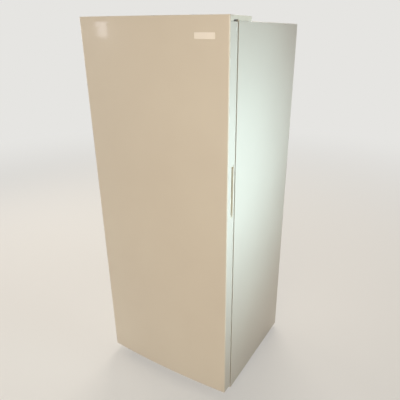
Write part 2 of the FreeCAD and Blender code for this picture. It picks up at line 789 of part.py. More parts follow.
def screws():
    """Hinge screws and the screws of the rear cover."""
    pieces = []
    z_plate = z_top + HINGE_PLATE
    for y in hinge_screw_places:
        pieces.append(join([
            rod((x_pin, y, z_top - SCREW_LENGTH), (x_pin, y, z_plate), SCREW_RADIUS),
            rod((x_pin, y, z_plate), (x_pin, y, z_plate + SCREW_HEAD_HEIGHT), SCREW_HEAD)]))
    for x, z in bottom_screw_places():
        front = y_face - HINGE_PLATE
        pieces.append(join([
            rod((x, front, z), (x, front + SCREW_LENGTH, z), SCREW_RADIUS),
            rod((x, front - PLATE, z), (x, front, z), SCREW_HEAD)]))
    for x, z in panel_screw_places():
        outside = y_bay_rear + SHEET
        pieces.append(join([
            rod((x, outside - SCREW_LENGTH, z), (x, outside, z), PANEL_SCREW_RADIUS),
            rod((x, outside, z), (x, outside + PANEL_SCREW_HEAD, z), SCREW_HEAD)]))
    return group(pieces)


def hinge_hole_plugs():
    """Plugs in the spare hinge holes, on the left of the cabinet's top."""
    return group([join([rod((-x_pin, y, z_top - SCREW_LENGTH / 2), (-x_pin, y, z_top), SCREW_RADIUS),
                        rod((-x_pin, y, z_top), (-x_pin, y, z_top + PLATE), SCREW_HEAD)])
                  for y in hinge_screw_places])


# --- Cooling ------------------------------------------------------------------------------------
def evaporator_cover():
    """The panel in front of the evaporator, with return slots, a fan grille and air outlets."""
    panel = room(SLIDE_GAP).common(box(-half, half, y_duct, y_duct + MOULDING, z_step, z_top))
    y0 = y_duct - MOULDING
    y1 = y_duct + 2 * MOULDING
    return_length = 2 * (evaporator_half + DUCT_RETURN_MARGIN)
    z_return = z_step + LINER_RADIUS + 2 * DUCT_SLOT_PITCH
    openings = slots(0, return_length, y0, y1, z_return, DUCT_SLOT, DUCT_SLOT_PITCH, DUCT_RETURN_SLOTS)
    rows = int(DUCT_GRILLE / DUCT_SLOT_PITCH)
    for row in range(-rows, rows + 1):
        height = row * DUCT_SLOT_PITCH
        chord = 2 * math.sqrt(DUCT_GRILLE ** 2 - height ** 2)
        openings += slots(0, chord, y0, y1, FAN_Z + height - DUCT_SLOT / 2, DUCT_SLOT, 0, 1)
    for level in shelf_levels[1:] + [z_console + DUCT_OUTLET_DROP / 2]:
        low = level - DUCT_OUTLET_DROP - DUCT_SLOT_PITCH * DUCT_OUTLET_SLOTS
        for x in (-x_duct_outlet, x_duct_outlet):
            openings += slots(x, DUCT_OUTLET_LENGTH, y0, y1, low, DUCT_SLOT, DUCT_SLOT_PITCH,
                              DUCT_OUTLET_SLOTS)
    return cut(panel, openings)


def evaporator_coil():
    """Aluminium tube and fins, held to the rear of the liner by the two end plates."""
    return cut(finned_coil(-evaporator_half, evaporator_half, evaporator_columns, EVAPORATOR_LOW,
                           EVAPORATOR_ROWS, EVAPORATOR_PITCH, EVAPORATOR_FINS, COIL_LEAD,
                           EVAPORATOR_LOW - HEATER_DROP - 2 * FIN_MARGIN, room_back),
               [heater(HEATER_RADIUS + CLOSE_FIT)])


def heater(radius):
    """A hairpin bar of one radius under the evaporator."""
    z = EVAPORATOR_LOW - HEATER_DROP
    front = y_evaporator - HEATER_SPREAD / 2
    rear = y_evaporator + HEATER_SPREAD / 2
    left = -evaporator_half
    right = evaporator_half
    return tube([(right, front, z), (left, front, z), (left, rear, z), (right, rear, z)],
                COIL_BEND_SHARE * HEATER_SPREAD, radius)


def drip_trough():
    """The tray that catches meltwater under the evaporator, with its outlet over the drain."""
    tray = box(-trough_half, trough_half, y_duct + 2 * MOULDING, room_back, z_step, z_step + TROUGH_HEIGHT)
    hollow = box(-trough_half + SHEET, trough_half - SHEET, y_duct + 2 * MOULDING + SHEET,
                 room_back - SHEET, z_step + SHEET, z_step + TROUGH_HEIGHT)
    return cut(tray, [hollow, drain_hole(DRAIN_RADIUS)])


def drain_tube():
    """The tube that leads meltwater down to the pan over the compressor's warm air."""
    return cut(drain_hole(DRAIN_RADIUS), [drain_hole(DRAIN_BORE)])


def evaporator_fan_motor():
    """Motor and bracket plate, fixed to the rear of the liner."""
    y_front = room_back - MOULDING - FAN_MOTOR_LENGTH
    plate = box(-FAN_RADIUS, FAN_RADIUS, room_back - MOULDING, room_back,
                FAN_Z - FAN_MOTOR_RADIUS, FAN_Z + FAN_MOTOR_RADIUS)
    motor = rod((0, y_front, FAN_Z), (0, room_back - MOULDING, FAN_Z), FAN_MOTOR_RADIUS)
    bore = rod((0, y_front, FAN_Z), (0, y_front + FAN_SHAFT_GRIP, FAN_Z), FAN_SHAFT + RUNNING_FIT)
    return cut(join([plate, motor]), [bore])


def evaporator_fan_blade():
    """The fan wheel on the motor's shaft, blowing forward."""
    y_root = room_back - MOULDING - FAN_MOTOR_LENGTH - FAN_CLEAR
    wheel = fan_wheel(FAN_RADIUS, FAN_DEPTH, FAN_CLEAR + FAN_SHAFT_GRIP - PLATE)
    return turned(wheel, X_AXIS, 90, (0, y_root, FAN_Z))


def condenser_coil():
    """Steel tube and fins beside the fan, standing in the water pan on the two end plates."""
    return finned_coil(condenser_left, condenser_right, condenser_columns, CONDENSER_LOW,
                       CONDENSER_ROWS, CONDENSER_PITCH, CONDENSER_FINS, COIL_LEAD,
                       z_pan + PAN_WALL, condenser_columns[-1] + COIL_TUBE + FIN_MARGIN / 2)


def evaporation_pan():
    """The plastic pan under the condenser, where the meltwater dries off."""
    left = condenser_left - PAN_MARGIN / 2
    right = condenser_right + PAN_MARGIN / 2
    front = y_bay + PAN_MARGIN
    outer = box(left, right, front, front + PAN_DEPTH, z_pan, z_pan + PAN_HEIGHT)
    inner = box(left + PAN_WALL, right - PAN_WALL, front + PAN_WALL, front + PAN_DEPTH - PAN_WALL,
                z_pan + PAN_WALL, z_pan + PAN_HEIGHT)
    return cut(outer, [inner])


def condenser_fan_motor():
    """Orifice plate, stays and motor of the fan between the condenser and the compressor."""
    x_plate = x_condenser_fan - PLATE
    x_motor = x_condenser_fan + FAN_DEPTH + FAN_CLEAR
    y, z = y_condenser_fan, z_condenser_fan
    reach = CONDENSER_FAN_RADIUS + ORIFICE_CLEAR
    side = reach + PAN_MARGIN
    plate = box(x_plate, x_condenser_fan, y - side, y + side, z_pan, z + side)
    orifice = rod((x_plate, y, z), (x_condenser_fan, y, z), reach)
    stay_reach = reach + FAN_STAY
    pieces = [cut(plate, [orifice])]
    for dy, dz in ((1, 0), (-1, 0), (0, 1), (0, -1)):
        foot = (y + dy * stay_reach, z + dz * stay_reach)
        pieces.append(rod((x_plate, foot[0], foot[1]), (x_motor + FAN_STAY, foot[0], foot[1]), FAN_STAY))
        pieces.append(rod((x_motor + FAN_STAY, y, z), (x_motor + FAN_STAY, foot[0], foot[1]), FAN_STAY))
    pieces.append(rod((x_motor, y, z), (x_motor + FAN_MOTOR_LENGTH, y, z), FAN_MOTOR_RADIUS))
    bore = rod((x_motor, y, z), (x_motor + FAN_SHAFT_GRIP, y, z), FAN_SHAFT + RUNNING_FIT)
    return cut(join(pieces), [bore])


def condenser_fan_blade():
    """The fan wheel inside the orifice, on the shaft of its motor."""
    wheel = fan_wheel(CONDENSER_FAN_RADIUS, FAN_DEPTH, FAN_CLEAR + FAN_SHAFT_GRIP - PLATE)
    place = (x_condenser_fan + FAN_DEPTH, y_condenser_fan, z_condenser_fan)
    return turned(wheel, Y_AXIS, -90, place)


def compressor():
    """The welded pot on its mounting plate."""
    z_pot = z_compressor + PLATE
    pot = rod((x_compressor, y_compressor, z_pot), (x_compressor, y_compressor, z_pot + COMPRESSOR_HEIGHT),
              COMPRESSOR_RADIUS)
    rims = [edge for edge in pot.Edges if edge.Curve.TypeId == "Part::GeomCircle"]
    pot = pot.makeFillet(COMPRESSOR_DOME, rims)
    plate = box(x_compressor - COMPRESSOR_PLATE_X / 2, x_compressor + COMPRESSOR_PLATE_X / 2,
                y_compressor - COMPRESSOR_PLATE_Y / 2, y_compressor + COMPRESSOR_PLATE_Y / 2,
                z_compressor, z_pot)
    return join([pot, plate])


def compressor_grommets():
    """Four rubber mounts between the mounting plate and the floor of the bay."""
    dx = COMPRESSOR_PLATE_X / 2 - GROMMET_INSET
    dy = COMPRESSOR_PLATE_Y / 2 - GROMMET_INSET
    return group([rod((x_compressor + sx * dx, y_compressor + sy * dy, z_pan),
                      (x_compressor + sx * dx, y_compressor + sy * dy, z_compressor), GROMMET_RADIUS)
                  for sx in (-1, 1) for sy in (-1, 1)])


def relay_cover():
    """The clip-on cover of the start relay, on the side of the pot."""
    x_out = x_compressor + COMPRESSOR_RADIUS + RELAY_REACH
    z_mid = z_compressor + COMPRESSOR_HEIGHT / 2
    block = box(x_compressor, x_out, y_compressor - RELAY_SIZE / 2, y_compressor + RELAY_SIZE / 2,
                z_mid - RELAY_SIZE / 2, z_mid + RELAY_SIZE / 2)
    block = rounded(block, MOULDING, Z_AXIS, lambda middle: middle.x > x_compressor + MOULDING)
    clear = rod((x_compressor, y_compressor, z_compressor),
                (x_compressor, y_compressor, z_compressor + COMPRESSOR_HEIGHT + PLATE), COMPRESSOR_RADIUS)
    return cut(block, [clear])


def refrigerant_lines():
    """Discharge, suction and capillary lines, and the filter drier, as separate solids."""
    condenser_in = (condenser_right + COIL_LEAD, condenser_columns[0], CONDENSER_LOW)
    y_front = y_bay + LINE_BEND / 2
    z_high = z_compressor + DISCHARGE_HEIGHT
    x_in = condenser_in[0] + LINE_BEND + COIL_TUBE
    pot = compressor()
    discharge = tube([(x_compressor, y_compressor, z_high), (x_compressor, y_front, z_high),
                      (x_in, y_front, z_high), (x_in, y_front, condenser_in[2]),
                      (x_in, condenser_in[1], condenser_in[2]), condenser_in],
                     LINE_BEND / 2, LINE_RADIUS)
    z_evaporator_in = EVAPORATOR_LOW
    suction = tube([(evaporator_half + COIL_LEAD, y_suction, z_evaporator_in),
                    (x_suction, y_suction, z_evaporator_in), (x_suction, y_suction, z_compressor)],
                   SUCTION_BEND, LINE_RADIUS)
    condenser_out = (condenser_left - COIL_LEAD, condenser_columns[-1],
                     CONDENSER_LOW + CONDENSER_PITCH * (CONDENSER_ROWS - 1))
    y_drier = condenser_out[1] + LINE_BEND
    x_drier = condenser_out[0] - LINE_BEND / 2 - SHEET
    z_out = condenser_out[2]
    drier = join([tube([condenser_out, (x_drier, condenser_out[1], z_out), (x_drier, y_drier, z_out)],
                       LINE_BEND / 2, LINE_RADIUS),
                  rod((x_drier, y_drier, z_out), (x_drier, y_drier + DRIER_LENGTH, z_out), DRIER_RADIUS)])
    y_turn = y_drier + DRIER_LENGTH + LINE_BEND
    z_evaporator_out = EVAPORATOR_LOW + EVAPORATOR_PITCH * (EVAPORATOR_ROWS - 1)
    capillary = tube([(x_drier, y_drier + DRIER_LENGTH, z_out), (x_drier, y_turn, z_out),
                      (x_capillary, y_turn, z_out), (x_capillary, y_capillary, z_out),
                      (x_capillary, y_capillary, z_evaporator_out),
                      (-evaporator_half - COIL_LEAD, y_capillary, z_evaporator_out)],
                     LINE_BEND / 2, CAPILLARY_RADIUS)
    return group([cut(discharge, [pot]), cut(suction, [pot]), drier, capillary])


# --- Feet and rollers ---------------------------------------------------------------------------
def foot_bracket(side):
    """The nut block that a levelling foot screws into."""
    x = side * x_foot
    plate = box(x - BRACKET_HALF, x + BRACKET_HALF, y_foot - BRACKET_HALF, y_foot + BRACKET_HALF,
                z_deck - ROLLER_CHEEK, z_deck)
    nut = rod((x, y_foot, FOOT_NUT_BOTTOM), (x, y_foot, z_deck - ROLLER_CHEEK), FOOT_NUT)
    bore = rod((x, y_foot, FLOOR_GAP), (x, y_foot, z_deck - ROLLER_CHEEK), FOOT_STEM + RUNNING_FIT)
    return cut(join([plate, nut]), [bore])


def roller_bracket(side):
    """The two cheeks that hold a roller's axle under the machine bay."""
    x = side * x_foot
    inner = ROLLER_WIDTH / 2 + ROLLER_SIDE_GAP
    outer = inner + ROLLER_CHEEK
    z_low = z_axle - 3 * ROLLER_AXLE
    block = box(x - outer, x + outer, y_roller - BRACKET_HALF, y_roller + BRACKET_HALF, z_low, z_deck)
    hollow = box(x - inner, x + inner, y_roller - half, y_roller + half, 0, z_deck - ROLLER_CHEEK)
    hole = rod((x - outer, y_roller, z_axle), (x + outer, y_roller, z_axle), ROLLER_AXLE)
    return cut(block, [hollow, hole])


def base_brackets():
    """Nut blocks at the front and roller cheeks at the rear."""
    return group([foot_bracket(-1), foot_bracket(1), roller_bracket(-1), roller_bracket(1)])


def roller_axle(side):
    """The steel pin that one roller turns on."""
    x = side * x_foot
    reach = ROLLER_WIDTH / 2 + ROLLER_SIDE_GAP + 2 * ROLLER_CHEEK
    return rod((x - reach, y_roller, z_axle), (x + reach, y_roller, z_axle), ROLLER_AXLE)


def roller(side):
    """One rear roller, with its bore."""
    x = side * x_foot
    wheel = rod((x - ROLLER_WIDTH / 2, y_roller, z_axle), (x + ROLLER_WIDTH / 2, y_roller, z_axle),
                ROLLER_RADIUS)
    rims = [e for e in wheel.Edges if e.Curve.TypeId == "Part::GeomCircle"]
    wheel = wheel.makeFillet(MOULDING, rims)
    return cut(wheel, [rod((x - ROLLER_WIDTH, y_roller, z_axle), (x + ROLLER_WIDTH, y_roller, z_axle),
                           ROLLER_AXLE + RUNNING_FIT)])


def levelling_foot(side):
    """One front foot: a pad with a threaded stem, drawn as a plain bar."""
    x = side * x_foot
    pad = rod((x, y_foot, 0), (x, y_foot, FOOT_PAD_HEIGHT), FOOT_PAD)
    rims = [e for e in pad.Edges if e.Curve.TypeId == "Part::GeomCircle"]
    pad = pad.makeChamfer(FOOT_PAD_HEIGHT / 4, [e for e in rims if e.CenterOfMass.z > FOOT_PAD_HEIGHT / 2])
    stem = rod((x, y_foot, FOOT_PAD_HEIGHT / 2), (x, y_foot, z_deck - FOOT_STEM_TOP), FOOT_STEM)
    return join([pad, stem])


# --- Inside the room ----------------------------------------------------------------------------
def glass_shelf(level):
    """One toughened glass shelf, lying on its two ledges."""
    return box(-room_half + LINER, room_half - LINER, y_shelf_front, y_shelf_rear,
               level, level + SHELF_GLASS)


def shelf_trim(level, y_edge, inward):
    """The moulded trim that grips one long edge of a shelf."""
    y_out = y_edge - inward * SHELF_TRIM_WALL
    y_in = y_edge + inward * (SHELF_TRIM - SHELF_TRIM_WALL)
    block = box(-room_half + 2 * LINER, room_half - 2 * LINER, min(y_out, y_in), max(y_out, y_in),
                level - SHELF_TRIM_WALL, level + SHELF_GLASS + SHELF_TRIM_WALL)
    return cut(block, [glass_shelf(level)])


def shelf_trims():
    """Front and rear trims of all the shelves."""
    pieces = []
    for level in shelf_levels:
        pieces.append(shelf_trim(level, y_shelf_front, 1))
        pieces.append(shelf_trim(level, y_shelf_rear, -1))
    return group(pieces)


def bottom_basket():
    """The lift-out basket on the floor of the room, slotted front and rear, with a grip."""
    reach = room_half - BASKET_SIDE_GAP
    y0 = y_face + BASKET_FRONT
    y1 = y_step - BASKET_REAR_GAP
    z1 = room_floor + BASKET_HEIGHT
    outer = rounded(box(-reach, reach, y0, y1, room_floor, z1), LINER_RADIUS, Z_AXIS)
    inner = rounded(box(-reach + BASKET_WALL, reach - BASKET_WALL, y0 + BASKET_WALL, y1 - BASKET_WALL,
                        room_floor + BASKET_WALL, z1), LINER_RADIUS - BASKET_WALL, Z_AXIS)
    openings = [box(-BASKET_GRIP / 2, BASKET_GRIP / 2, y0 - OVERCUT, y0 + BASKET_WALL + OVERCUT,
                    z1 - 2 * BASKET_GRIP_HEIGHT, z1 - BASKET_GRIP_HEIGHT)]
    count = int((2 * reach - 2 * BASKET_SLOT_MARGIN) / BASKET_SLOT_PITCH)
    for i in range(count + 1):
        x = (i - count / 2) * BASKET_SLOT_PITCH
        openings.append(box(x - BASKET_SLOT / 2, x + BASKET_SLOT / 2, y0 - OVERCUT, y1 + OVERCUT,
                            room_floor + BASKET_SLOT_MARGIN, z1 - 2 * BASKET_SLOT_MARGIN))
    return cut(outer, [inner] + openings)


def control_housing():
    """The console under the ceiling, for the thermostat and the lamp."""
    y_rear = y_console + CONSOLE_DEPTH
    outer = box(-CONSOLE_HALF, CONSOLE_HALF, y_console, y_rear, z_console, room_top)
    outer = rounded(outer, MOULDING, X_AXIS, lambda middle: middle.z < z_console + OVERCUT)
    inner = box(-CONSOLE_HALF + MOULDING, CONSOLE_HALF - MOULDING, y_console + MOULDING,
                y_rear - MOULDING, z_console + MOULDING, room_top)
    y_lens = y_console + (CONSOLE_DEPTH - LENS_SIZE) / 2
    window = box(LENS_LEFT, LENS_RIGHT, y_lens, y_lens + LENS_SIZE, z_console, z_console + MOULDING)
    hole = rod((KNOB_X, y_console, z_knob), (KNOB_X, y_console + MOULDING, z_knob),
               KNOB_SHAFT + MOULDING)
    return cut(outer, [inner, window, hole])


def lamp_lens():
    """The frosted cover of the lamp, let into the console's underside."""
    y_lens = y_console + (CONSOLE_DEPTH - LENS_SIZE) / 2
    lens = box(LENS_LEFT, LENS_RIGHT, y_lens, y_lens + LENS_SIZE, z_console - LENS_DROP,
               z_console + MOULDING)
    return rounded(lens, MOULDING, X_AXIS, lambda middle: middle.z < z_console)


def thermostat_body():
    """The thermostat behind the console's front wall, with the bore for the knob's shaft."""
    y0 = y_console + MOULDING
    body = box(KNOB_X - THERMOSTAT_SIZE / 2, KNOB_X + THERMOSTAT_SIZE / 2, y0, y0 + THERMOSTAT_DEPTH,
               z_knob - THERMOSTAT_SIZE / 2, z_knob + THERMOSTAT_SIZE / 2)
    bore = rod((KNOB_X, y0, z_knob), (KNOB_X, y0 + THERMOSTAT_DEPTH - PLATE, z_knob),
               KNOB_SHAFT + RUNNING_FIT)
    return cut(body, [bore])


def thermostat_knob():
    """The knob in front of the console, with its shaft."""
    y_out = y_console - KNOB_GAP - KNOB_LENGTH
    disc = rod((KNOB_X, y_console - KNOB_GAP - KNOB_LENGTH / 2, z_knob),
               (KNOB_X, y_console - KNOB_GAP, z_knob), KNOB_RADIUS)
    ridge = box(KNOB_X - KNOB_GRIP / 2, KNOB_X + KNOB_GRIP / 2, y_out,
                y_console - KNOB_GAP - KNOB_LENGTH / 2, z_knob - KNOB_RADIUS + KNOB_RIM,
                z_knob + KNOB_RADIUS - KNOB_RIM)
    shaft = rod((KNOB_X, y_console - KNOB_GAP, z_knob),
                (KNOB_X, y_console + THERMOSTAT_DEPTH - 2 * PLATE, z_knob), KNOB_SHAFT)
    return join([disc, ridge, shaft])


def reed_switch():
    """The sealed door switch in the foam behind the cabinet's front rim."""
    z1 = z_top - FRONT_FLANGE - SWITCH_DROP
    return box(x_switch, x_switch + SWITCH_LENGTH, y_face + LINER, y_face + LINER + SWITCH_SIZE,
               z1 - SWITCH_SIZE, z1)


# --- Door ---------------------------------------------------------------------------------------
def door_block(inset, y_rear, z0, z1):
    """The door's bowed outline, drawn in by inset, between two heights."""
    reach = half - inset
    blank = box(-reach, reach, y_crown - OVERCUT, y_rear, z0, z1)
    drum = Part.makeCylinder(bow_radius - inset, z1 - z0, Vector(0, y_crown + bow_radius, z0))
    block = blank.common(drum)
    return rounded(block, BEND - inset, Z_AXIS, lambda middle: middle.y < (y_corner + y_rear) / 2)


def hinge_recess(grown):
    """The space in the door's top corner that the hinge cover sits in."""
    return box(x_pin - RECESS_LENGTH - grown, half + WIDTH, y_corner + LIP - grown, y_face,
               z_recess - grown, z_door_top + OVERCUT)


def grip_space(grown, outward):
    """The pocket in the right edge: straight sides, a ramp at the bottom and a slant at the top."""
    y0 = y_corner + GRIP_FROM_FRONT - grown
    y1 = y0 + GRIP_SLOT + 2 * grown
    deep = half - GRIP_DEPTH - grown
    corners = [(half, GRIP_BOTTOM - grown), (half, GRIP_TOP + grown),
               (deep, GRIP_TOP - GRIP_SLANT + grown), (deep, GRIP_BOTTOM + GRIP_RAMP - grown)]
    outline = Part.makePolygon([Vector(x, y0, z) for x, z in corners + corners[:1]])
    space = Part.Face(outline).extrude(Vector(0, y1 - y0, 0))
    if not outward:
        return space
    return join([space, box(half, half + OVERCUT, y0, y1, GRIP_BOTTOM - grown, GRIP_TOP + grown)])


def grip_spaces(grown, outward):
    """The pockets of both edges, so that the door can be hung either way round."""
    space = grip_space(grown, outward)
    return [space, mirrored(space)]


def door_skin():
    """The folded outer panel: bowed front, both edges, and a flange round the rear."""
    shell = cut(door_block(0, y_door_back, DOOR_BOTTOM, z_door_top),
                [door_block(SHEET, y_door_back + OVERCUT, DOOR_BOTTOM - OVERCUT, z_door_top + OVERCUT)])
    flange = box(door_lining_half, half - SHEET, y_door_back - SHEET, y_door_back,
                 DOOR_BOTTOM, z_door_top)
    shell = join([shell, flange, mirrored(flange)])
    return cut(shell, [hinge_recess(0)] + grip_spaces(MOULDING, True))


def cap_outline(z0, z1):
    """What lies inside the door skin between two heights."""
    return door_block(SHEET, y_door_back - SHEET, z0, z1)


def cap_hollow(z0, z1):
    """The foam's space inside an end cap."""
    return door_block(SHEET + CAP_WALL, y_door_back - SHEET - CAP_WALL, z0, z1)


def boss(z0, z1, radius):
    """A round boss about the hinge axis."""
    return rod((x_pin, y_pin, z0), (x_pin, y_pin, z1), radius)


def boss_block(z0, z1):
    """The wall round a bush, run out into the side wall of the end cap."""
    radius = BUSH_RADIUS + CAP_WALL
    return join([boss(z0, z1, radius), box(x_pin, half, y_pin - radius, y_pin + radius, z0, z1)])


def top_cap_hollow():
    """The foam's space inside the top cap, clear of the hinge recess and of the bush."""
    return cut(cap_hollow(z_skin_high, z_door_top - CAP_WALL),
               [hinge_recess(CAP_WALL), boss_block(z_skin_high, z_door_top)])


def bottom_cap_hollow():
    """The foam's space inside the bottom cap, clear of the bush."""
    return cut(cap_hollow(DOOR_BOTTOM + CAP_WALL, z_skin_low),
               [boss_block(DOOR_BOTTOM, z_skin_low)])


def door_top_cap():
    """The moulded top end of the door, with the recess for the hinge."""
    cap = cap_outline(z_skin_high, z_door_top)
    return cut(cap, [top_cap_hollow(), hinge_recess(0),
                     boss(z_recess - BUSH_LENGTH, z_recess, BUSH_RADIUS)])


def door_bottom_cap():
    """The moulded bottom end of the door."""
    return cut(cap_outline(DOOR_BOTTOM, z_skin_low),
               [bottom_cap_hollow(), boss(DOOR_BOTTOM, DOOR_BOTTOM + BUSH_LENGTH, BUSH_RADIUS)])


def hinge_bushes():
    """The plastic bushes that run on the two hinge pins."""
    top = cut(boss(z_recess - BUSH_LENGTH, z_recess, BUSH_RADIUS),
              [boss(z_recess - BUSH_LENGTH, z_recess, PIN_RADIUS + RUNNING_FIT)])
    low = cut(boss(DOOR_BOTTOM, DOOR_BOTTOM + BUSH_LENGTH, BUSH_RADIUS),
              [boss(DOOR_BOTTOM, DOOR_BOTTOM + BUSH_LENGTH, PIN_RADIUS + RUNNING_FIT)])
    return group([top, low])


def dyke(inset, y_low):
    """The raised ring on the door's inner side, drawn in by inset."""
    top = y_door_back + DYKE_DEPTH - inset
    outer = box(inset - dyke_half, dyke_half - inset, y_low, top, dyke_low + inset, dyke_high - inset)
    outer = rounded(outer, LINER_RADIUS - inset, Y_AXIS)
    inner = box(-dyke_room - inset, dyke_room + inset, y_low, top,
                dyke_low + DYKE_WIDTH - inset, dyke_high - DYKE_WIDTH + inset)
    return cut(outer, [inner])


def door_liner():
    """The formed inner panel with its raised ring and the lugs that carry the bins."""
    panel = box(-door_lining_half, door_lining_half, y_door_back - LINER, y_door_back,
                z_skin_low, z_skin_high)
    lugs = []
    for level in bin_levels:
        lug = box(dyke_room - BIN_LUG, dyke_room + LINER / 2, y_door_back, y_door_back + BIN_LUG_DEPTH,
                  level - BIN_LUG_HEIGHT, level)
        lugs += [lug, mirrored(lug)]
    shell = join([panel, dyke(0, y_door_back)])
    return join([cut(shell, [dyke(LINER, y_door_back - LINER)])] + lugs)


def door_foam():
    """The foam between the door skin and the formed inner panel."""
    core = door_block(SHEET, y_door_back - LINER, z_skin_low, z_skin_high)
    core = join([core, top_cap_hollow(), bottom_cap_hollow(), dyke(LINER, y_door_back - LINER)])
    return cut(core, grip_spaces(MOULDING, False) + [door_magnet()])


def door_gasket():
    """The magnetic seal: a flat base ring with a narrower bulb."""
    y_tip = y_face - GASKET_CLEAR

    def ring(inset, width, y0, y1):
        reach = half - inset
        low = z_skin_low + inset - SHEET
        high = z_skin_high - SHEET
        outer = box(-reach, reach, y0, y1, low, high)
        inner = box(-reach + width, reach - width, y0, y1, low + width, high - width)
        return cut(outer, [inner])

    side = (GASKET_WIDTH - GASKET_BULB) / 2
    base = ring(GASKET_INSET, GASKET_WIDTH, y_door_back, y_door_back + GASKET_BASE)
    reach = half - GASKET_INSET - side
    low = z_skin_low + GASKET_INSET - SHEET + side
    high = z_skin_high - SHEET - side
    bulb = cut(box(-reach, reach, y_door_back + GASKET_BASE, y_tip, low, high),
               [box(-reach + GASKET_BULB, reach - GASKET_BULB, y_door_back + GASKET_BASE, y_tip,
                    low + GASKET_BULB, high - GASKET_BULB)])
    return join([base, bulb])


def grip_inserts():
    """The moulded pockets in both edges of the door, flush with the skin."""
    pockets = []
    for outer, inner in zip(grip_spaces(MOULDING, False), grip_spaces(0, True)):
        pockets.append(cut(outer, [inner]))
    return group(pockets)


def badge_plate():
    """A blank plate that follows the bow of the door."""
    plate = box(badge_x - BADGE_WIDTH / 2, badge_x + BADGE_WIDTH / 2, y_crown - DOOR_BOW,
                y_corner + DOOR_BOW, badge_z - BADGE_HEIGHT / 2, badge_z + BADGE_HEIGHT / 2)
    plate = rounded(plate, BADGE_ROUND, Y_AXIS)
    centre = Vector(0, y_crown + bow_radius, badge_z - BADGE_HEIGHT)
    outside = Part.makeCylinder(bow_radius + BADGE_THICKNESS, 2 * BADGE_HEIGHT, centre)
    inside = Part.makeCylinder(bow_radius, 2 * BADGE_HEIGHT, centre)
    return cut(plate.common(outside), [inside])


def door_bin(level):
    """One open bin on the door, with a long window in its front."""
    reach = dyke_room - SLIDE_GAP
    y0 = y_door_back + SLIDE_GAP
    y1 = y0 + BIN_DEPTH
    outer = box(-reach, reach, y0, y1, level, level + BIN_HEIGHT)
    outer = rounded(outer, LINER_RADIUS / 2, Z_AXIS, lambda middle: middle.y > y_door_back + BIN_DEPTH / 2)
    inner = box(-reach + BIN_WALL, reach - BIN_WALL, y0 + BIN_WALL, y1 - BIN_WALL,
                level + BIN_WALL, level + BIN_HEIGHT)
    window = box(-reach + BIN_WINDOW, reach - BIN_WINDOW, y1 - 2 * BIN_WALL, y1 + OVERCUT,
                 level + BIN_HEIGHT - 2 * BIN_WINDOW, level + BIN_HEIGHT - BIN_WINDOW / 2)
    return cut(outer, [inner, window])


def door_magnet():
    """The magnet in the door that works the sealed switch."""
    z1 = z_top - FRONT_FLANGE - SWITCH_DROP
    return box(x_switch, x_switch + SWITCH_LENGTH, y_door_back - LINER - SWITCH_SIZE,
               y_door_back - LINER, z1 - SWITCH_SIZE, z1)


# --- Write every sub-part -----------------------------------------------------------------------
MAKERS = {
    "outer_shell": outer_shell,
    "rear_sheet": rear_sheet,
    "bottom_deck": bottom_deck,
    "base_front_rail": base_front_rail,
    "foam_insulation": foam_insulation,
    "inner_liner": inner_liner,
    "base_pan": base_pan,
    "rear_machine_cover": rear_machine_cover,
    "cord_inlet_bush": cord_inlet_bush,
    "top_hinge_bracket": top_hinge_bracket,
    "bottom_hinge_bracket": bottom_hinge_bracket,
    "pins_and_axles": pins_and_axles,
    "hinge_cover": hinge_cover,
    "screws": screws,
    "hinge_hole_plugs": hinge_hole_plugs,
    "evaporator_cover": evaporator_cover,
    "evaporator_coil": evaporator_coil,
    "defrost_heater": lambda: heater(HEATER_RADIUS),
    "drip_trough": drip_trough,
    "drain_tube": drain_tube,
    "evaporator_fan_motor": evaporator_fan_motor,
    "evaporator_fan_blade": evaporator_fan_blade,
    "condenser_coil": condenser_coil,
    "evaporation_pan": evaporation_pan,
    "condenser_fan_motor": condenser_fan_motor,
    "condenser_fan_blade": condenser_fan_blade,
    "compressor": compressor,
    "compressor_grommets": compressor_grommets,
    "relay_cover": relay_cover,
    "refrigerant_lines": refrigerant_lines,
    "base_brackets": base_brackets,
    "roller_left": lambda: roller(-1),
    "roller_right": lambda: roller(1),
    "foot_left": lambda: levelling_foot(-1),
    "foot_right": lambda: levelling_foot(1),
    "shelf_trims": shelf_trims,
    "bottom_basket": bottom_basket,
    "control_housing": control_housing,
    "lamp_lens": lamp_lens,
    "thermostat_body": thermostat_body,
    "thermostat_knob": thermostat_knob,
    "reed_switch": reed_switch,
    "door_skin": door_skin,
    "door_foam": door_foam,
    "door_liner": door_liner,
    "door_top_cap": door_top_cap,
    "door_bottom_cap": door_bottom_cap,
    "hinge_bushes": hinge_bushes,
    "door_gasket": door_gasket,
    "grip_inserts": grip_inserts,
    "badge_plate": badge_plate,
    "door_magnet": door_magnet,
}

os.makedirs("parts", exist_ok=True)
for name, maker in MAKERS.items():
    save(name, maker())
for number, level in enumerate(shelf_levels, 1):
    save("glass_shelf_" + str(number), glass_shelf(level))
for number, level in enumerate(bin_levels, 1):
    save("door_bin_" + str(number), door_bin(level))
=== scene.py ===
"""The looks of an upright freezer with an enamelled steel cabinet and one bowed door.

Metres, in the frame's own axes: +Z up, the door faces -Y.
"""
import bpy
import json
import math
from mathutils import Matrix, Vector


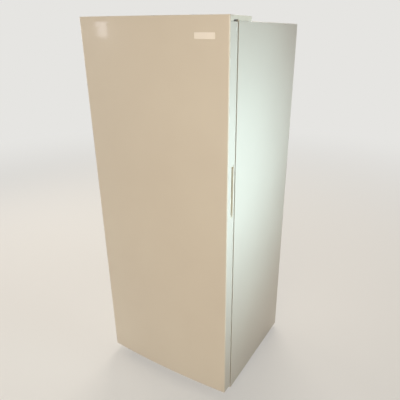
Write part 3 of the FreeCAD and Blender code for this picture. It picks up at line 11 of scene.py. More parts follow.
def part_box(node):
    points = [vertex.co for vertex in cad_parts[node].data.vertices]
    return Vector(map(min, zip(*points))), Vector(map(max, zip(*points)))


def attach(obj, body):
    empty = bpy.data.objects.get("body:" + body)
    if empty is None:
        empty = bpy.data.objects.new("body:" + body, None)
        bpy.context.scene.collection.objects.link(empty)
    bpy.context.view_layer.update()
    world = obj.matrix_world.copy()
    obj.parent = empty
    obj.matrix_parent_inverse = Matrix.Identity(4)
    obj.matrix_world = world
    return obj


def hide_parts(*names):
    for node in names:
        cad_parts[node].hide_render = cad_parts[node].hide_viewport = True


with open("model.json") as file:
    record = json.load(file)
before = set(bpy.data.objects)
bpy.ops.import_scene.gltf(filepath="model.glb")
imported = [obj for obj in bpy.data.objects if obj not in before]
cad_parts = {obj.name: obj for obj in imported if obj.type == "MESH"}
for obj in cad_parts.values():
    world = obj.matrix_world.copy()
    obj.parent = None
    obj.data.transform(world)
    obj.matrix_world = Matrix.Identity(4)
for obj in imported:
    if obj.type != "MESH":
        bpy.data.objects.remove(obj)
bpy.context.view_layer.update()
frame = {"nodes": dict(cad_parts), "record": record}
nodes = frame["nodes"]

MM = 0.001

# --- Sizes of the dressed pieces ------------------------------------------------------------------
SHEET = 1.0 * MM
DOOR_BOW = 13.0 * MM
DOOR_BEND = 5.0 * MM
HEM_BEND = 1.5 * MM
HEM_WIDTH = 12.0 * MM
LIP = 3.5 * MM
BOW_STEPS = 56
BEND_STEPS = 8
EDGE_ROUND = 1.5 * MM
EDGE_STEPS = 5
HEM_STEPS = 4
DOOR_ROWS = 24
SIDE_REACH = 0.1 * MM
BEVEL = 0.7 * MM
FINE_BEVEL = 0.3 * MM
CAP_BEVEL = 1.2 * MM
BEVEL_SEGMENTS = 2
WELD_REACH = 0.005 * MM
FLAT_FACE_WEIGHT = 60
CORNER_STEPS = 6
HARD_EDGE = 32.0
SHEET_CREASE = 30.0
DOOR_CREASE = 40.0
BADGE_CREASE = 35.0
BEAD_CREASE = 50.0
SCREW_CREASE = 38.0
SEAL_WIDTH = 20.0 * MM
SCREW_RADIUS = 4.5 * MM
SCREW_DISH = 0.8 * MM
SCREW_SHANK = 8.0 * MM
SCREW_STEPS = 32
SHANK_SHARE = 0.5
RECESS_REACH = 0.4
RECESS_WAIST = 0.3
RECESS_TAPER = 0.65
PANEL_SCREW_HEIGHT = 1.8 * MM
PANEL_SCREW_X = 290.0 * MM
PANEL_SCREW_LOW = 9.5 * MM
PANEL_SCREW_HIGH = 8.5 * MM
HINGE_SCREW_HEIGHT = 3.0 * MM
HINGE_SCREW_Y = (18.0 * MM, 43.0 * MM, 68.0 * MM)
PIN_FROM_SIDE = 14.0 * MM
HINGE_PLATE = 3.5 * MM
FOOT_SCREW_X = (53.0 * MM, 31.0 * MM)
FOOT_SCREW_Z = 29.0 * MM
FOOT_SCREW_HEIGHT = 2.0 * MM
BADGE_ROUND = 2.0 * MM
BEAD_STEPS = 10
BEAD_SINK = 0.2 * MM
RIM_INSET = 1.5 * MM
RIM_ROUND = 10.5 * MM
RIM_WIDTH = 6.0 * MM
RIM_HEIGHT = 3.0 * MM
BIN_COUNT = 4
RAIL_INSET = 1.25 * MM
RAIL_ROUND = 5.0 * MM
RAIL_SETBACK = 3.0 * MM
RAIL_WIDTH = 5.0 * MM
RAIL_HEIGHT = 2.2 * MM
HOOD_LENGTH = 96.0 * MM
HOOD_HEIGHT = 5.0 * MM
HOOD_PITCH = 15.0 * MM
HOOD_ROWS = 8
HOOD_COLUMNS = 4
HOOD_COLUMN_PITCH = 128.0 * MM
HOOD_FROM_DECK = 48.0 * MM
HOOD_PROUD = 1.8 * MM
HOOD_ACROSS = 14
HOOD_UP = 5
HOOD_LIP = 0.4
HOOD_FALL = 0.7
HOOD_SQUARE_END = 6
THREAD_PITCH = 1.75 * MM
THREAD_DEPTH = 0.7 * MM
THREAD_STEPS = 20
THREAD_ROWS = 4
STEM_RADIUS = 5.0 * MM
PAD_HEIGHT = 8.0 * MM
PAD_RIBS = 36
PAD_GROOVE = 0.965
DIAL_NUMBERS = 7
DIAL_SWEEP = 270.0
DIAL_RADIUS = 17.55 * MM
DIAL_TEXT = 4.4 * MM
INK_THICKNESS = 0.05 * MM
INK_PROUD = 0.06 * MM
BACKDROP = "#E6E5E2"
FLOOR_RADIUS = 40.0
FLOOR_STEPS = 64
FLOOR_NEAR = 1.0
FLOOR_FAR = 6.0
FLOOR_GLOW = 0.5

# --- Sections, each as shares or millimetres across and out ------------------------------------------
SEAL_SECTION = [
    (0.00, 0.0), (0.00, 0.22), (0.10, 0.30), (0.20, 0.30), (0.24, 0.42), (0.17, 0.52), (0.16, 0.66),
    (0.20, 0.90), (0.27, 1.00), (0.78, 1.00), (0.84, 0.92), (0.86, 0.78), (0.80, 0.64), (0.70, 0.56),
    (0.76, 0.44), (0.82, 0.30), (0.92, 0.28), (1.00, 0.20), (1.00, 0.0)]
BADGE_SECTION = [(inset * MM, proud * MM) for inset, proud in
                 ((0.0, 0.0), (0.0, 0.85), (0.12, 1.1), (0.4, 1.2), (1.1, 1.2), (1.3, 0.75))]
PAN_HEAD = [(1.0, 0.0), (1.0, 0.35), (0.94, 0.62), (0.8, 0.84), (0.6, 0.96), (0.42, 1.0)]
PAD_PROFILE = [(0.86, 0.0), (0.94, 0.08), (1.0, 0.2), (1.0, 0.7), (0.9, 0.92), (0.8, 1.0), (0.34, 1.0)]

# --- Nodes that keep thin, crisp edges, and widths of the other roundings ------------------------------
SHEETS = {"rear_machine_cover", "rear_sheet", "bottom_deck", "base_pan", "evaporator_cover", "inner_liner",
          "door_liner", "bottom_basket", "evaporator_coil", "condenser_coil", "foam_insulation", "door_foam"}
EDGE_WIDTHS = {"defrost_heater": FINE_BEVEL, "refrigerant_lines": FINE_BEVEL, "shelf_trims": FINE_BEVEL,
               "control_housing": FINE_BEVEL, "door_top_cap": CAP_BEVEL, "door_bottom_cap": CAP_BEVEL}

# --- The photograph's camera ----------------------------------------------------------------------
IMAGE_SIZE = 400.0
SENSOR = 36.0
CAMERA_PLACE = Vector((1.0639, -1.6285, 1.6866))
CAMERA_YAW = math.radians(29.8444)
CAMERA_PITCH = math.radians(23.1958)
CAMERA_ROLL = math.radians(0.3721)
FOCAL_PIXELS = 406.15
CENTRE_PIXEL_X = 218.44
CENTRE_PIXEL_Y = 206.63
CAMERA_REACH = 100.0


# --- Helpers ----------------------------------------------------------------------------------------
def srgb(code):
    """A hex colour as a linear RGBA value."""
    channels = [int(code[i:i + 2], 16) / 255 for i in (1, 3, 5)]
    linear = [c / 12.92 if c <= 0.04045 else ((c + 0.055) / 1.055) ** 2.4 for c in channels]
    return (*linear, 1.0)


def per_metre(size_mm):
    """The texture scale at which one cell measures size_mm."""
    return 1.0 / (size_mm * MM)


def add(tree, kind, settings=None, links=None):
    """Add a node, set its sockets or properties by name, and link the sockets named in links."""
    node = tree.nodes.new(kind)
    for name, value in (settings or {}).items():
        if name in node.inputs:
            node.inputs[name].default_value = value
        elif name == "color_ramp":
            for stop, (position, colour) in zip(node.color_ramp.elements, value):
                stop.position, stop.color = position, colour
        else:
            setattr(node, name, value)
    for name, source in (links or {}).items():
        tree.links.new(source, node.inputs[name])
    return node


def start_material(name, **shader_settings):
    """A new material with its shader, and the coordinates of the frame in metres."""
    material = bpy.data.materials.new(name)
    material.use_nodes = True
    tree = material.node_tree
    tree.nodes.clear()
    settings = {key.replace("_", " "): value for key, value in shader_settings.items()}
    shader = add(tree, "ShaderNodeBsdfPrincipled", settings)
    add(tree, "ShaderNodeOutputMaterial", links={"Surface": shader.outputs["BSDF"]})
    place = add(tree, "ShaderNodeTexCoord").outputs["Object"]
    return material, tree, shader, place


def tones(low, high, low_at=0.3, high_at=0.7):
    """The two stops of a colour ramp, from two hex colours."""
    return ((low_at, srgb(low)), (high_at, srgb(high)))


# --- Materials --------------------------------------------------------------------------------------
def baked_enamel():
    """Baked polyester enamel on steel sheet: a warm white gloss coat with faint orange peel,
    and slow waves in the sheet that bend the reflections a little. The peel is drawn a little
    coarser than the real one, so that it shows."""
    material, tree, shader, place = start_material(
        "baked_enamel", Roughness=0.3, IOR=1.5, Coat_Weight=0.35, Coat_Roughness=0.09)
    tint = add(tree, "ShaderNodeTexNoise", {"Scale": per_metre(420), "Detail": 3.0}, {"Vector": place})
    colour = add(tree, "ShaderNodeValToRGB", {"color_ramp": tones("#DAD6CD", "#DFDCD3")},
                 {"Fac": tint.outputs["Fac"]})
    tree.links.new(colour.outputs["Color"], shader.inputs["Base Color"])
    rub = add(tree, "ShaderNodeTexNoise", {"Scale": per_metre(90), "Detail": 5.0}, {"Vector": place})
    gloss = add(tree, "ShaderNodeMapRange", {"To Min": 0.26, "To Max": 0.36},
                {"Value": rub.outputs["Fac"]})
    tree.links.new(gloss.outputs["Result"], shader.inputs["Roughness"])
    peel = add(tree, "ShaderNodeTexNoise", {"Scale": per_metre(3.0), "Detail": 1.0}, {"Vector": place})
    wave = add(tree, "ShaderNodeTexNoise", {"Scale": per_metre(260), "Detail": 0.0}, {"Vector": place})
    slow = add(tree, "ShaderNodeBump", {"Strength": 0.5, "Distance": 0.9 * MM},
               {"Height": wave.outputs["Fac"]})
    fine = add(tree, "ShaderNodeBump", {"Strength": 0.35, "Distance": 0.05 * MM},
               {"Height": peel.outputs["Fac"], "Normal": slow.outputs["Normal"]})
    tree.links.new(fine.outputs["Normal"], shader.inputs["Normal"])
    return material


def coated_sheet():
    """Galvanised sheet under a thin grey coat: matt, with the spangle showing faintly."""
    material, tree, shader, place = start_material("coated_sheet", Roughness=0.5, IOR=1.5, Metallic=0.25)
    spangle = add(tree, "ShaderNodeTexVoronoi", {"Scale": per_metre(14)}, {"Vector": place})
    colour = add(tree, "ShaderNodeValToRGB", {"color_ramp": tones("#A9ABA8", "#B4B6B3", 0.1, 0.8)},
                 {"Fac": spangle.outputs["Distance"]})
    tree.links.new(colour.outputs["Color"], shader.inputs["Base Color"])
    gloss = add(tree, "ShaderNodeMapRange", {"To Min": 0.42, "To Max": 0.58},
                {"Value": spangle.outputs["Distance"]})
    tree.links.new(gloss.outputs["Result"], shader.inputs["Roughness"])
    return material


def zinc_plate():
    """Zinc-plated pressed steel: pale grey metal with spangles and a soft, broken reflection."""
    material, tree, shader, place = start_material("zinc_plate", Metallic=1.0, Roughness=0.38)
    spangle = add(tree, "ShaderNodeTexVoronoi", {"Scale": per_metre(9)}, {"Vector": place})
    colour = add(tree, "ShaderNodeValToRGB", {"color_ramp": tones("#A4A8AA", "#C3C6C7", 0.1, 0.8)},
                 {"Fac": spangle.outputs["Distance"]})
    tree.links.new(colour.outputs["Color"], shader.inputs["Base Color"])
    gloss = add(tree, "ShaderNodeMapRange", {"To Min": 0.3, "To Max": 0.48},
                {"Value": spangle.outputs["Distance"]})
    tree.links.new(gloss.outputs["Result"], shader.inputs["Roughness"])
    return material


def turned_steel():
    """Turned and ground steel of pins and screws: bright, with tool marks drawn coarser than
    the real ones so that they show."""
    material, tree, shader, place = start_material("turned_steel", Metallic=1.0, Roughness=0.24)
    marks = add(tree, "ShaderNodeTexNoise", {"Scale": per_metre(0.6), "Detail": 2.0}, {"Vector": place})
    colour = add(tree, "ShaderNodeValToRGB", {"color_ramp": tones("#B2B3B1", "#CFCFCC")},
                 {"Fac": marks.outputs["Fac"]})
    tree.links.new(colour.outputs["Color"], shader.inputs["Base Color"])
    bump = add(tree, "ShaderNodeBump", {"Strength": 0.2, "Distance": 0.02 * MM},
               {"Height": marks.outputs["Fac"]})
    tree.links.new(bump.outputs["Normal"], shader.inputs["Normal"])
    return material


def mill_aluminium():
    """Mill-finish aluminium of fins and trays: soft grey metal, lightly streaked."""
    material, tree, shader, place = start_material("mill_aluminium", Metallic=1.0, Roughness=0.4)
    streak = add(tree, "ShaderNodeTexNoise", {"Scale": per_metre(12), "Detail": 4.0}, {"Vector": place})
    colour = add(tree, "ShaderNodeValToRGB", {"color_ramp": tones("#B6B9BB", "#D0D2D3")},
                 {"Fac": streak.outputs["Fac"]})
    tree.links.new(colour.outputs["Color"], shader.inputs["Base Color"])
    return material


def moulded_plastic(name, low, high, roughness, grain_mm, grain_depth_mm, lacquer=0.0):
    """Injection-moulded ABS or polypropylene: even colour, with the fine grain of the mould,
    drawn coarser than the real one so that it shows, and a clear lacquer where the piece has it."""
    material, tree, shader, place = start_material(
        name, Roughness=roughness, IOR=1.53, Coat_Weight=lacquer, Coat_IOR=1.6)
    tint = add(tree, "ShaderNodeTexNoise", {"Scale": per_metre(60), "Detail": 2.0}, {"Vector": place})
    colour = add(tree, "ShaderNodeValToRGB", {"color_ramp": tones(low, high)},
                 {"Fac": tint.outputs["Fac"]})
    tree.links.new(colour.outputs["Color"], shader.inputs["Base Color"])
    grain = add(tree, "ShaderNodeTexNoise", {"Scale": per_metre(grain_mm), "Detail": 2.0}, {"Vector": place})
    gloss = add(tree, "ShaderNodeMapRange", {"To Min": roughness - 0.05, "To Max": roughness + 0.07},
                {"Value": grain.outputs["Fac"]})
    tree.links.new(gloss.outputs["Result"], shader.inputs["Roughness"])
    bump = add(tree, "ShaderNodeBump", {"Strength": 0.3, "Distance": grain_depth_mm * MM},
               {"Height": grain.outputs["Fac"]})
    tree.links.new(bump.outputs["Normal"], shader.inputs["Normal"])
    return material


def clear_styrene():
    """Clear styrene of the door bins: see-through with a cool tint, and glossy."""
    material, tree, shader, place = start_material(
        "clear_styrene", Base_Color=srgb("#F3F9FA"), IOR=1.58, Transmission_Weight=0.95)
    flow = add(tree, "ShaderNodeTexNoise", {"Scale": per_metre(45), "Detail": 1.0}, {"Vector": place})
    gloss = add(tree, "ShaderNodeMapRange", {"To Min": 0.06, "To Max": 0.14},
                {"Value": flow.outputs["Fac"]})
    tree.links.new(gloss.outputs["Result"], shader.inputs["Roughness"])
    return material


def toughened_glass():
    """Toughened float glass of the shelves: clear with a green cast that gathers at the edges."""
    material, tree, shader, place = start_material(
        "toughened_glass", Base_Color=srgb("#D9EFE8"), IOR=1.52, Transmission_Weight=0.95)
    smear = add(tree, "ShaderNodeTexNoise", {"Scale": per_metre(80), "Detail": 2.0}, {"Vector": place})
    gloss = add(tree, "ShaderNodeMapRange", {"To Min": 0.01, "To Max": 0.06},
                {"Value": smear.outputs["Fac"]})
    tree.links.new(gloss.outputs["Result"], shader.inputs["Roughness"])
    return material


def frosted_lens():
    """Frosted polycarbonate over the lamp: milky, and softly lit from behind. The frosting is
    drawn coarser than the real one so that it shows."""
    material, tree, shader, place = start_material(
        "frosted_lens", Base_Color=srgb("#F4F5F2"), IOR=1.58, Emission_Color=srgb("#FFF6E6"),
        Emission_Strength=2.5)
    frost = add(tree, "ShaderNodeTexNoise", {"Scale": per_metre(1.2), "Detail": 1.0}, {"Vector": place})
    gloss = add(tree, "ShaderNodeMapRange", {"To Min": 0.45, "To Max": 0.6},
                {"Value": frost.outputs["Fac"]})
    tree.links.new(gloss.outputs["Result"], shader.inputs["Roughness"])
    return material


def soft_vinyl():
    """Soft vinyl of the door seal: satin, off-white, a little dull in its folds."""
    material, tree, shader, place = start_material("soft_vinyl", Roughness=0.5, IOR=1.5)
    dust = add(tree, "ShaderNodeTexNoise", {"Scale": per_metre(25), "Detail": 4.0}, {"Vector": place})
    colour = add(tree, "ShaderNodeValToRGB", {"color_ramp": tones("#D6D5CF", "#E2E1DC")},
                 {"Fac": dust.outputs["Fac"]})
    tree.links.new(colour.outputs["Color"], shader.inputs["Base Color"])
    return material


def moulded_rubber():
    """Moulded black rubber of mounts and foot pads: dark, matt, faintly powdery."""
    material, tree, shader, place = start_material("moulded_rubber", Roughness=0.75, IOR=1.52)
    bloom = add(tree, "ShaderNodeTexNoise", {"Scale": per_metre(8), "Detail": 5.0}, {"Vector": place})
    colour = add(tree, "ShaderNodeValToRGB", {"color_ramp": tones("#1B1B1C", "#2A2A2A")},
                 {"Fac": bloom.outputs["Fac"]})
    tree.links.new(colour.outputs["Color"], shader.inputs["Base Color"])
    return material


def drawn_copper():
    """Drawn copper tube: warm metal, browned in patches by handling and brazing."""
    material, tree, shader, place = start_material("drawn_copper", Metallic=1.0)
    patina = add(tree, "ShaderNodeTexNoise", {"Scale": per_metre(30), "Detail": 5.0}, {"Vector": place})
    colour = add(tree, "ShaderNodeValToRGB", {"color_ramp": tones("#8C5236", "#C98363")},
                 {"Fac": patina.outputs["Fac"]})
    tree.links.new(colour.outputs["Color"], shader.inputs["Base Color"])
    gloss = add(tree, "ShaderNodeMapRange", {"To Min": 0.42, "To Max": 0.24},
                {"Value": patina.outputs["Fac"]})
    tree.links.new(gloss.outputs["Result"], shader.inputs["Roughness"])
    return material


def stoved_black():
    """Stoved black paint on the compressor and condenser: semi-gloss with a slight peel."""
    material, tree, shader, place = start_material("stoved_black", Roughness=0.35, IOR=1.5)
    dust = add(tree, "ShaderNodeTexNoise", {"Scale": per_metre(50), "Detail": 5.0}, {"Vector": place})
    colour = add(tree, "ShaderNodeValToRGB", {"color_ramp": tones("#17181A", "#232426")},
                 {"Fac": dust.outputs["Fac"]})
    tree.links.new(colour.outputs["Color"], shader.inputs["Base Color"])
    peel = add(tree, "ShaderNodeTexNoise", {"Scale": per_metre(2.5)}, {"Vector": place})
    bump = add(tree, "ShaderNodeBump", {"Strength": 0.4, "Distance": 0.06 * MM},
               {"Height": peel.outputs["Fac"]})
    tree.links.new(bump.outputs["Normal"], shader.inputs["Normal"])
    return material


def rigid_foam():
    """Rigid polyurethane foam, seen only at cut edges: straw yellow and matt, with pores drawn
    coarser than the real ones so that they show."""
    material, tree, shader, place = start_material("rigid_foam", Roughness=0.9, IOR=1.4)
    pores = add(tree, "ShaderNodeTexVoronoi", {"Scale": per_metre(1.5)}, {"Vector": place})
    colour = add(tree, "ShaderNodeValToRGB", {"color_ramp": tones("#C9B577", "#E2D29A", 0.1, 0.6)},
                 {"Fac": pores.outputs["Distance"]})
    tree.links.new(colour.outputs["Color"], shader.inputs["Base Color"])
    bump = add(tree, "ShaderNodeBump", {"Strength": 0.5, "Distance": 0.3 * MM},
               {"Height": pores.outputs["Distance"]})
    tree.links.new(bump.outputs["Normal"], shader.inputs["Normal"])
    return material


FINISHES = {
    "white_enamel": baked_enamel(),
    "grey_sheet": coated_sheet(),
    "zinc_steel": zinc_plate(),
    "bright_steel": turned_steel(),
    "badge": moulded_plastic("gloss_abs", "#FBFAF6", "#FEFDFA", 0.16, 2.0, 0.02, 1.0),
    "aluminium": mill_aluminium(),
    "liner_plastic": moulded_plastic("formed_styrene", "#E9ECEC", "#F0F2F1", 0.24, 6.0, 0.05),
    "white_plastic": moulded_plastic("moulded_abs", "#E8E2D4", "#EEE9DD", 0.34, 1.4, 0.05),
    "trim_plastic": moulded_plastic("moulded_polypropylene", "#C9CFD2", "#D3D8DA", 0.4, 1.2, 0.06),
    "black_plastic": moulded_plastic("black_nylon", "#161617", "#212122", 0.45, 1.2, 0.05),
    "nylon": moulded_plastic("natural_nylon", "#CFCBBE", "#DAD7CB", 0.4, 1.0, 0.04),
    "clear_plastic": clear_styrene(),
    "glass": toughened_glass(),
    "frosted_lens": frosted_lens(),
    "gasket": soft_vinyl(),
    "rubber": moulded_rubber(),
    "copper": drawn_copper(),
    "black_steel": stoved_black(),
    "foam": rigid_foam(),
}


# --- Piece builders -----------------------------------------------------------------------------------
def make_piece(name, points, faces, slot, body, smooth=True):
    """A mesh piece in the frame's coordinates, with its finish and its body."""
    mesh = bpy.data.meshes.new(name)
    mesh.from_pydata([tuple(p) for p in points], [], faces)
    mesh.validate()
    mesh.update()
    piece = bpy.data.objects.new(name, mesh)
    bpy.context.scene.collection.objects.link(piece)
    for polygon in mesh.polygons:
        polygon.use_smooth = smooth
    mesh.materials.append(FINISHES[slot])
    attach(piece, body)
    return piece


def arc(centre, radius, start, end, steps):
    """Points along an arc, angles in degrees."""
    points = []
    for i in range(steps + 1):
        angle = math.radians(start + (end - start) * i / steps)
        points.append((centre[0] + radius * math.cos(angle), centre[1] + radius * math.sin(angle)))
    return points


def circle(steps):
    """The cosine and sine of each step of a full turn."""
    turns = [2 * math.pi * i / steps for i in range(steps)]
    return [(math.cos(turn), math.sin(turn)) for turn in turns]


def rounded_frame(x0, x1, y0, y1, radius):
    """Points round a rectangle with rounded corners, the corner at x1 and y1 first."""
    line = []
    for x, y, start in ((x1 - radius, y1 - radius, 0), (x0 + radius, y1 - radius, 90),
                        (x0 + radius, y0 + radius, 180), (x1 - radius, y0 + radius, 270)):
        line += arc((x, y), radius, start, start + 90, CORNER_STEPS)
    return line


def ring_faces(rings, around, closed=False):
    """Faces between rings of as many points around; closed joins the last ring to the first."""
    faces = []
    for ring in range(rings if closed else rings - 1):
        here, there = ring * around, (ring + 1) % rings * around
        for i in range(around):
            j = (i + 1) % around
            faces.append((here + i, here + j, there + j, there + i))
    return faces


def soften_edges(piece, width):
    """A small rounding on every hard edge, with flat faces kept flat."""
    weld = piece.modifiers.new("weld", "WELD")
    weld.merge_threshold = WELD_REACH
    bevel = piece.modifiers.new("bevel", "BEVEL")
    bevel.width = width
    bevel.segments = BEVEL_SEGMENTS
    bevel.limit_method = "ANGLE"
    bevel.angle_limit = math.radians(HARD_EDGE)
    normals = piece.modifiers.new("normals", "WEIGHTED_NORMAL")
    normals.weight = FLAT_FACE_WEIGHT


def split_edges(piece, angle):
    """Crisp edges with no rounding: faces that meet below the angle stay smooth."""
    split = piece.modifiers.new("split", "EDGE_SPLIT")
    split.split_angle = math.radians(angle)


def dress_nodes():
    """Give every CAD node its finish, and soft edges except on thin sheets with many openings."""
    slot_of = {entry["node"]: entry["material_slot"] for entry in frame["record"]["subparts"]}
    for name, node in nodes.items():
        node.data.materials.clear()
        node.data.materials.append(FINISHES[slot_of[name]])
        for polygon in node.data.polygons:
            polygon.use_smooth = True
            polygon.material_index = 0
        if name in SHEETS:
            split_edges(node, SHEET_CREASE)
        else:
            soften_edges(node, EDGE_WIDTHS.get(name, BEVEL))


# --- Door ---------------------------------------------------------------------------------------------
def door_outline(half, y_crown, y_back, pocket):
    """Half of the door panel's section, from the middle of the bow to the hem at the rear."""
    bow = (half ** 2 + DOOR_BOW ** 2) / (2 * DOOR_BOW)
    corner_x = half - DOOR_BEND
    corner_y = y_crown + bow - math.sqrt((bow - DOOR_BEND) ** 2 - corner_x ** 2)
    tangent = math.degrees(math.atan2(corner_y - y_crown - bow, corner_x))
    front = arc((0.0, y_crown + bow), bow, -90.0, tangent, BOW_STEPS // 2)
    lip_y = y_crown + DOOR_BOW + LIP
    lip_angle = math.degrees(math.asin((lip_y - corner_y) / DOOR_BEND))
    corner = arc((corner_x, corner_y), DOOR_BEND, tangent, lip_angle, BEND_STEPS)[1:]
    corner += arc((corner_x, corner_y), DOOR_BEND, lip_angle, 0.0, BEND_STEPS // 2)[1:]
    side = [(half, y) for y in pocket]
    hem = arc((half - HEM_BEND, y_back - HEM_BEND), HEM_BEND, 0.0, 90.0, HEM_STEPS)
    return front + corner + side + hem + [(half - HEM_WIDTH, y_back)], lip_y


def door_panel():
    """The bowed steel panel of the door, wrapped round both edges, with its pockets and recess."""
    low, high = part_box("door_skin")
    grip_low, grip_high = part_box("grip_inserts")
    recess_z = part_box("hinge_cover")[0].z - SHEET
    half_outline, lip_y = door_outline(high.x, low.y, high.y, (grip_low.y, grip_high.y))
    left = [(-x, y) for x, y in reversed(half_outline[1:])]
    outline = left + half_outline
    count = len(outline)
    hem_y = high.y - HEM_BEND
    inward = []
    for i in range(count):
        before, after = outline[max(i - 1, 0)], outline[min(i + 1, count - 1)]
        along = Vector((after[0] - before[0], after[1] - before[1])).normalized()
        inward.append((-along.y, along.x) if outline[i][1] < hem_y else (-along.y, 0.0))
    rounding = [(EDGE_ROUND * (1 - math.cos(math.pi / 2 * i / EDGE_STEPS)),
                 EDGE_ROUND * (1 - math.sin(math.pi / 2 * i / EDGE_STEPS))) for i in range(EDGE_STEPS)]
    levels = [low.z + (high.z - low.z) * i / DOOR_ROWS for i in range(1, DOOR_ROWS)]
    middle = sorted(set([grip_low.z, grip_high.z, recess_z] + levels))
    rows = [(low.z + rise, inset) for rise, inset in rounding]
    rows += [(low.z + EDGE_ROUND, 0.0)] + [(z, 0.0) for z in middle] + [(high.z - EDGE_ROUND, 0.0)]
    rows += [(high.z - rise, inset) for rise, inset in reversed(rounding)]
    points = [(x + inward[i][0] * inset, y + inward[i][1] * inset, z)
              for z, inset in rows for i, (x, y) in enumerate(outline)]
    faces = []
    for row in range(len(rows) - 1):
        z = (rows[row][0] + rows[row + 1][0]) / 2
        for column in range(count - 1):
            x = (outline[column][0] + outline[column + 1][0]) / 2
            y = (outline[column][1] + outline[column + 1][1]) / 2
            on_side = abs(x) > high.x - SIDE_REACH
            in_pocket = on_side and grip_low.y < y < grip_high.y and grip_low.z < z < grip_high.z
            in_recess = x > 0 and y > lip_y and z > recess_z
            if not in_pocket and not in_recess:
                first = row * count + column
                faces.append((first, first + 1, first + 1 + count, first + count))
    piece = make_piece("door_panel", points, faces, "white_enamel", "door")
    wall = piece.modifiers.new("wall", "SOLIDIFY")
    wall.thickness = SHEET
    wall.offset = -1.0
    split_edges(piece, DOOR_CREASE)
    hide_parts("door_skin")


def door_seal():
    """The magnetic seal: base, folded bellows and magnet bulb, mitred at the corners."""
    low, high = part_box("door_gasket")
    points = []
    for across, out in SEAL_SECTION:
        inset = across * SEAL_WIDTH
        y = low.y + out * (high.y - low.y)
        points += [(low.x + inset, y, low.z + inset), (high.x - inset, y, low.z + inset),
                   (high.x - inset, y, high.z - inset), (low.x + inset, y, high.z - inset)]
    faces = ring_faces(len(SEAL_SECTION), 4, True)
    piece = make_piece("door_seal", points, faces, "gasket", "door", smooth=False)
    bevel = piece.modifiers.new("bevel", "BEVEL")
    bevel.width = FINE_BEVEL
    bevel.segments = BEVEL_SEGMENTS
    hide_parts("door_gasket")


# --- Plate on the door, rims and louvres ----------------------------------------------------------------
def blank_badge():
    """The blank plate: it follows the bow of the door, with a raised rim round a sunk field."""
    low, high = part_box("badge_plate")
    skin_low, skin_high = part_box("door_skin")
    bow = (skin_high.x ** 2 + DOOR_BOW ** 2) / (2 * DOOR_BOW)
    points = []
    for inset, proud in BADGE_SECTION:
        line = rounded_frame(low.x + inset, high.x - inset, low.z + inset, high.z - inset,
                             BADGE_ROUND - inset)
        points += [(x, skin_low.y + bow - math.sqrt((bow + proud) ** 2 - x ** 2), z) for x, z in line]
    rings = len(BADGE_SECTION)
    around = len(points) // rings
    faces = [(a, d, c, b) for a, b, c, d in ring_faces(rings, around)]
    faces.append(tuple((rings - 1) * around + i for i in reversed(range(around))))
    piece = make_piece("badge_blank", points, faces, "badge", "door")
    split_edges(piece, BADGE_CREASE)
    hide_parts("badge_plate")


def bead(name, line, width, height, slot, body, closed):
    """A rolled bead along a line, flat below and round above, with its ends closed."""
    turns = [math.pi * i / BEAD_STEPS for i in range(BEAD_STEPS + 1)]
    section = [(width / 2 * math.cos(turn), height * math.sin(turn)) for turn in turns]
    points = []
    count = len(line)
    for i in range(count):
        before = line[i - 1] if closed or i > 0 else line[i]
        after = line[(i + 1) % count] if closed or i < count - 1 else line[i]
        along = (Vector(after) - Vector(before)).normalized()
        across = Vector((along.y, -along.x, 0.0))
        points += [Vector(line[i]) + across * side + Vector((0.0, 0.0, rise)) for side, rise in section]
    size = len(section)
    faces = ring_faces(count, size, closed)
    if not closed:
        faces.append(tuple(reversed(range(size))))
        faces.append(tuple((count - 1) * size + k for k in range(size)))
    split_edges(make_piece(name, points, faces, slot, body), BEAD_CREASE)


def basket_rim():
    """The rolled rim of the lift-out basket."""
    low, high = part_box("bottom_basket")
    outline = rounded_frame(low.x + RIM_INSET, high.x - RIM_INSET, low.y + RIM_INSET, high.y - RIM_INSET,
                            RIM_ROUND)
    line = [(x, y, high.z - BEAD_SINK) for x, y in outline]
    bead("basket_rim", line, RIM_WIDTH, RIM_HEIGHT, "trim_plastic", "cabinet", True)


def bin_rail(number):
    """The thickened rail along the front and ends of a door bin."""
    name = "door_bin_%d" % number
    low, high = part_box(name)
    x0, x1 = low.x + RAIL_INSET, high.x - RAIL_INSET
    y0, y1 = low.y + RAIL_SETBACK, high.y - RAIL_INSET - RAIL_ROUND
    left = arc((x0 + RAIL_ROUND, y1), RAIL_ROUND, 180, 90, CORNER_STEPS)
    right = arc((x1 - RAIL_ROUND, y1), RAIL_ROUND, 90, 0, CORNER_STEPS)
    line = [(x, y, high.z - BEAD_SINK) for x, y in [(x0, y0)] + left + right + [(x1, y0)]]
    bead(name + "_rail", line, RAIL_WIDTH, RAIL_HEIGHT, "trim_plastic", "door", False)


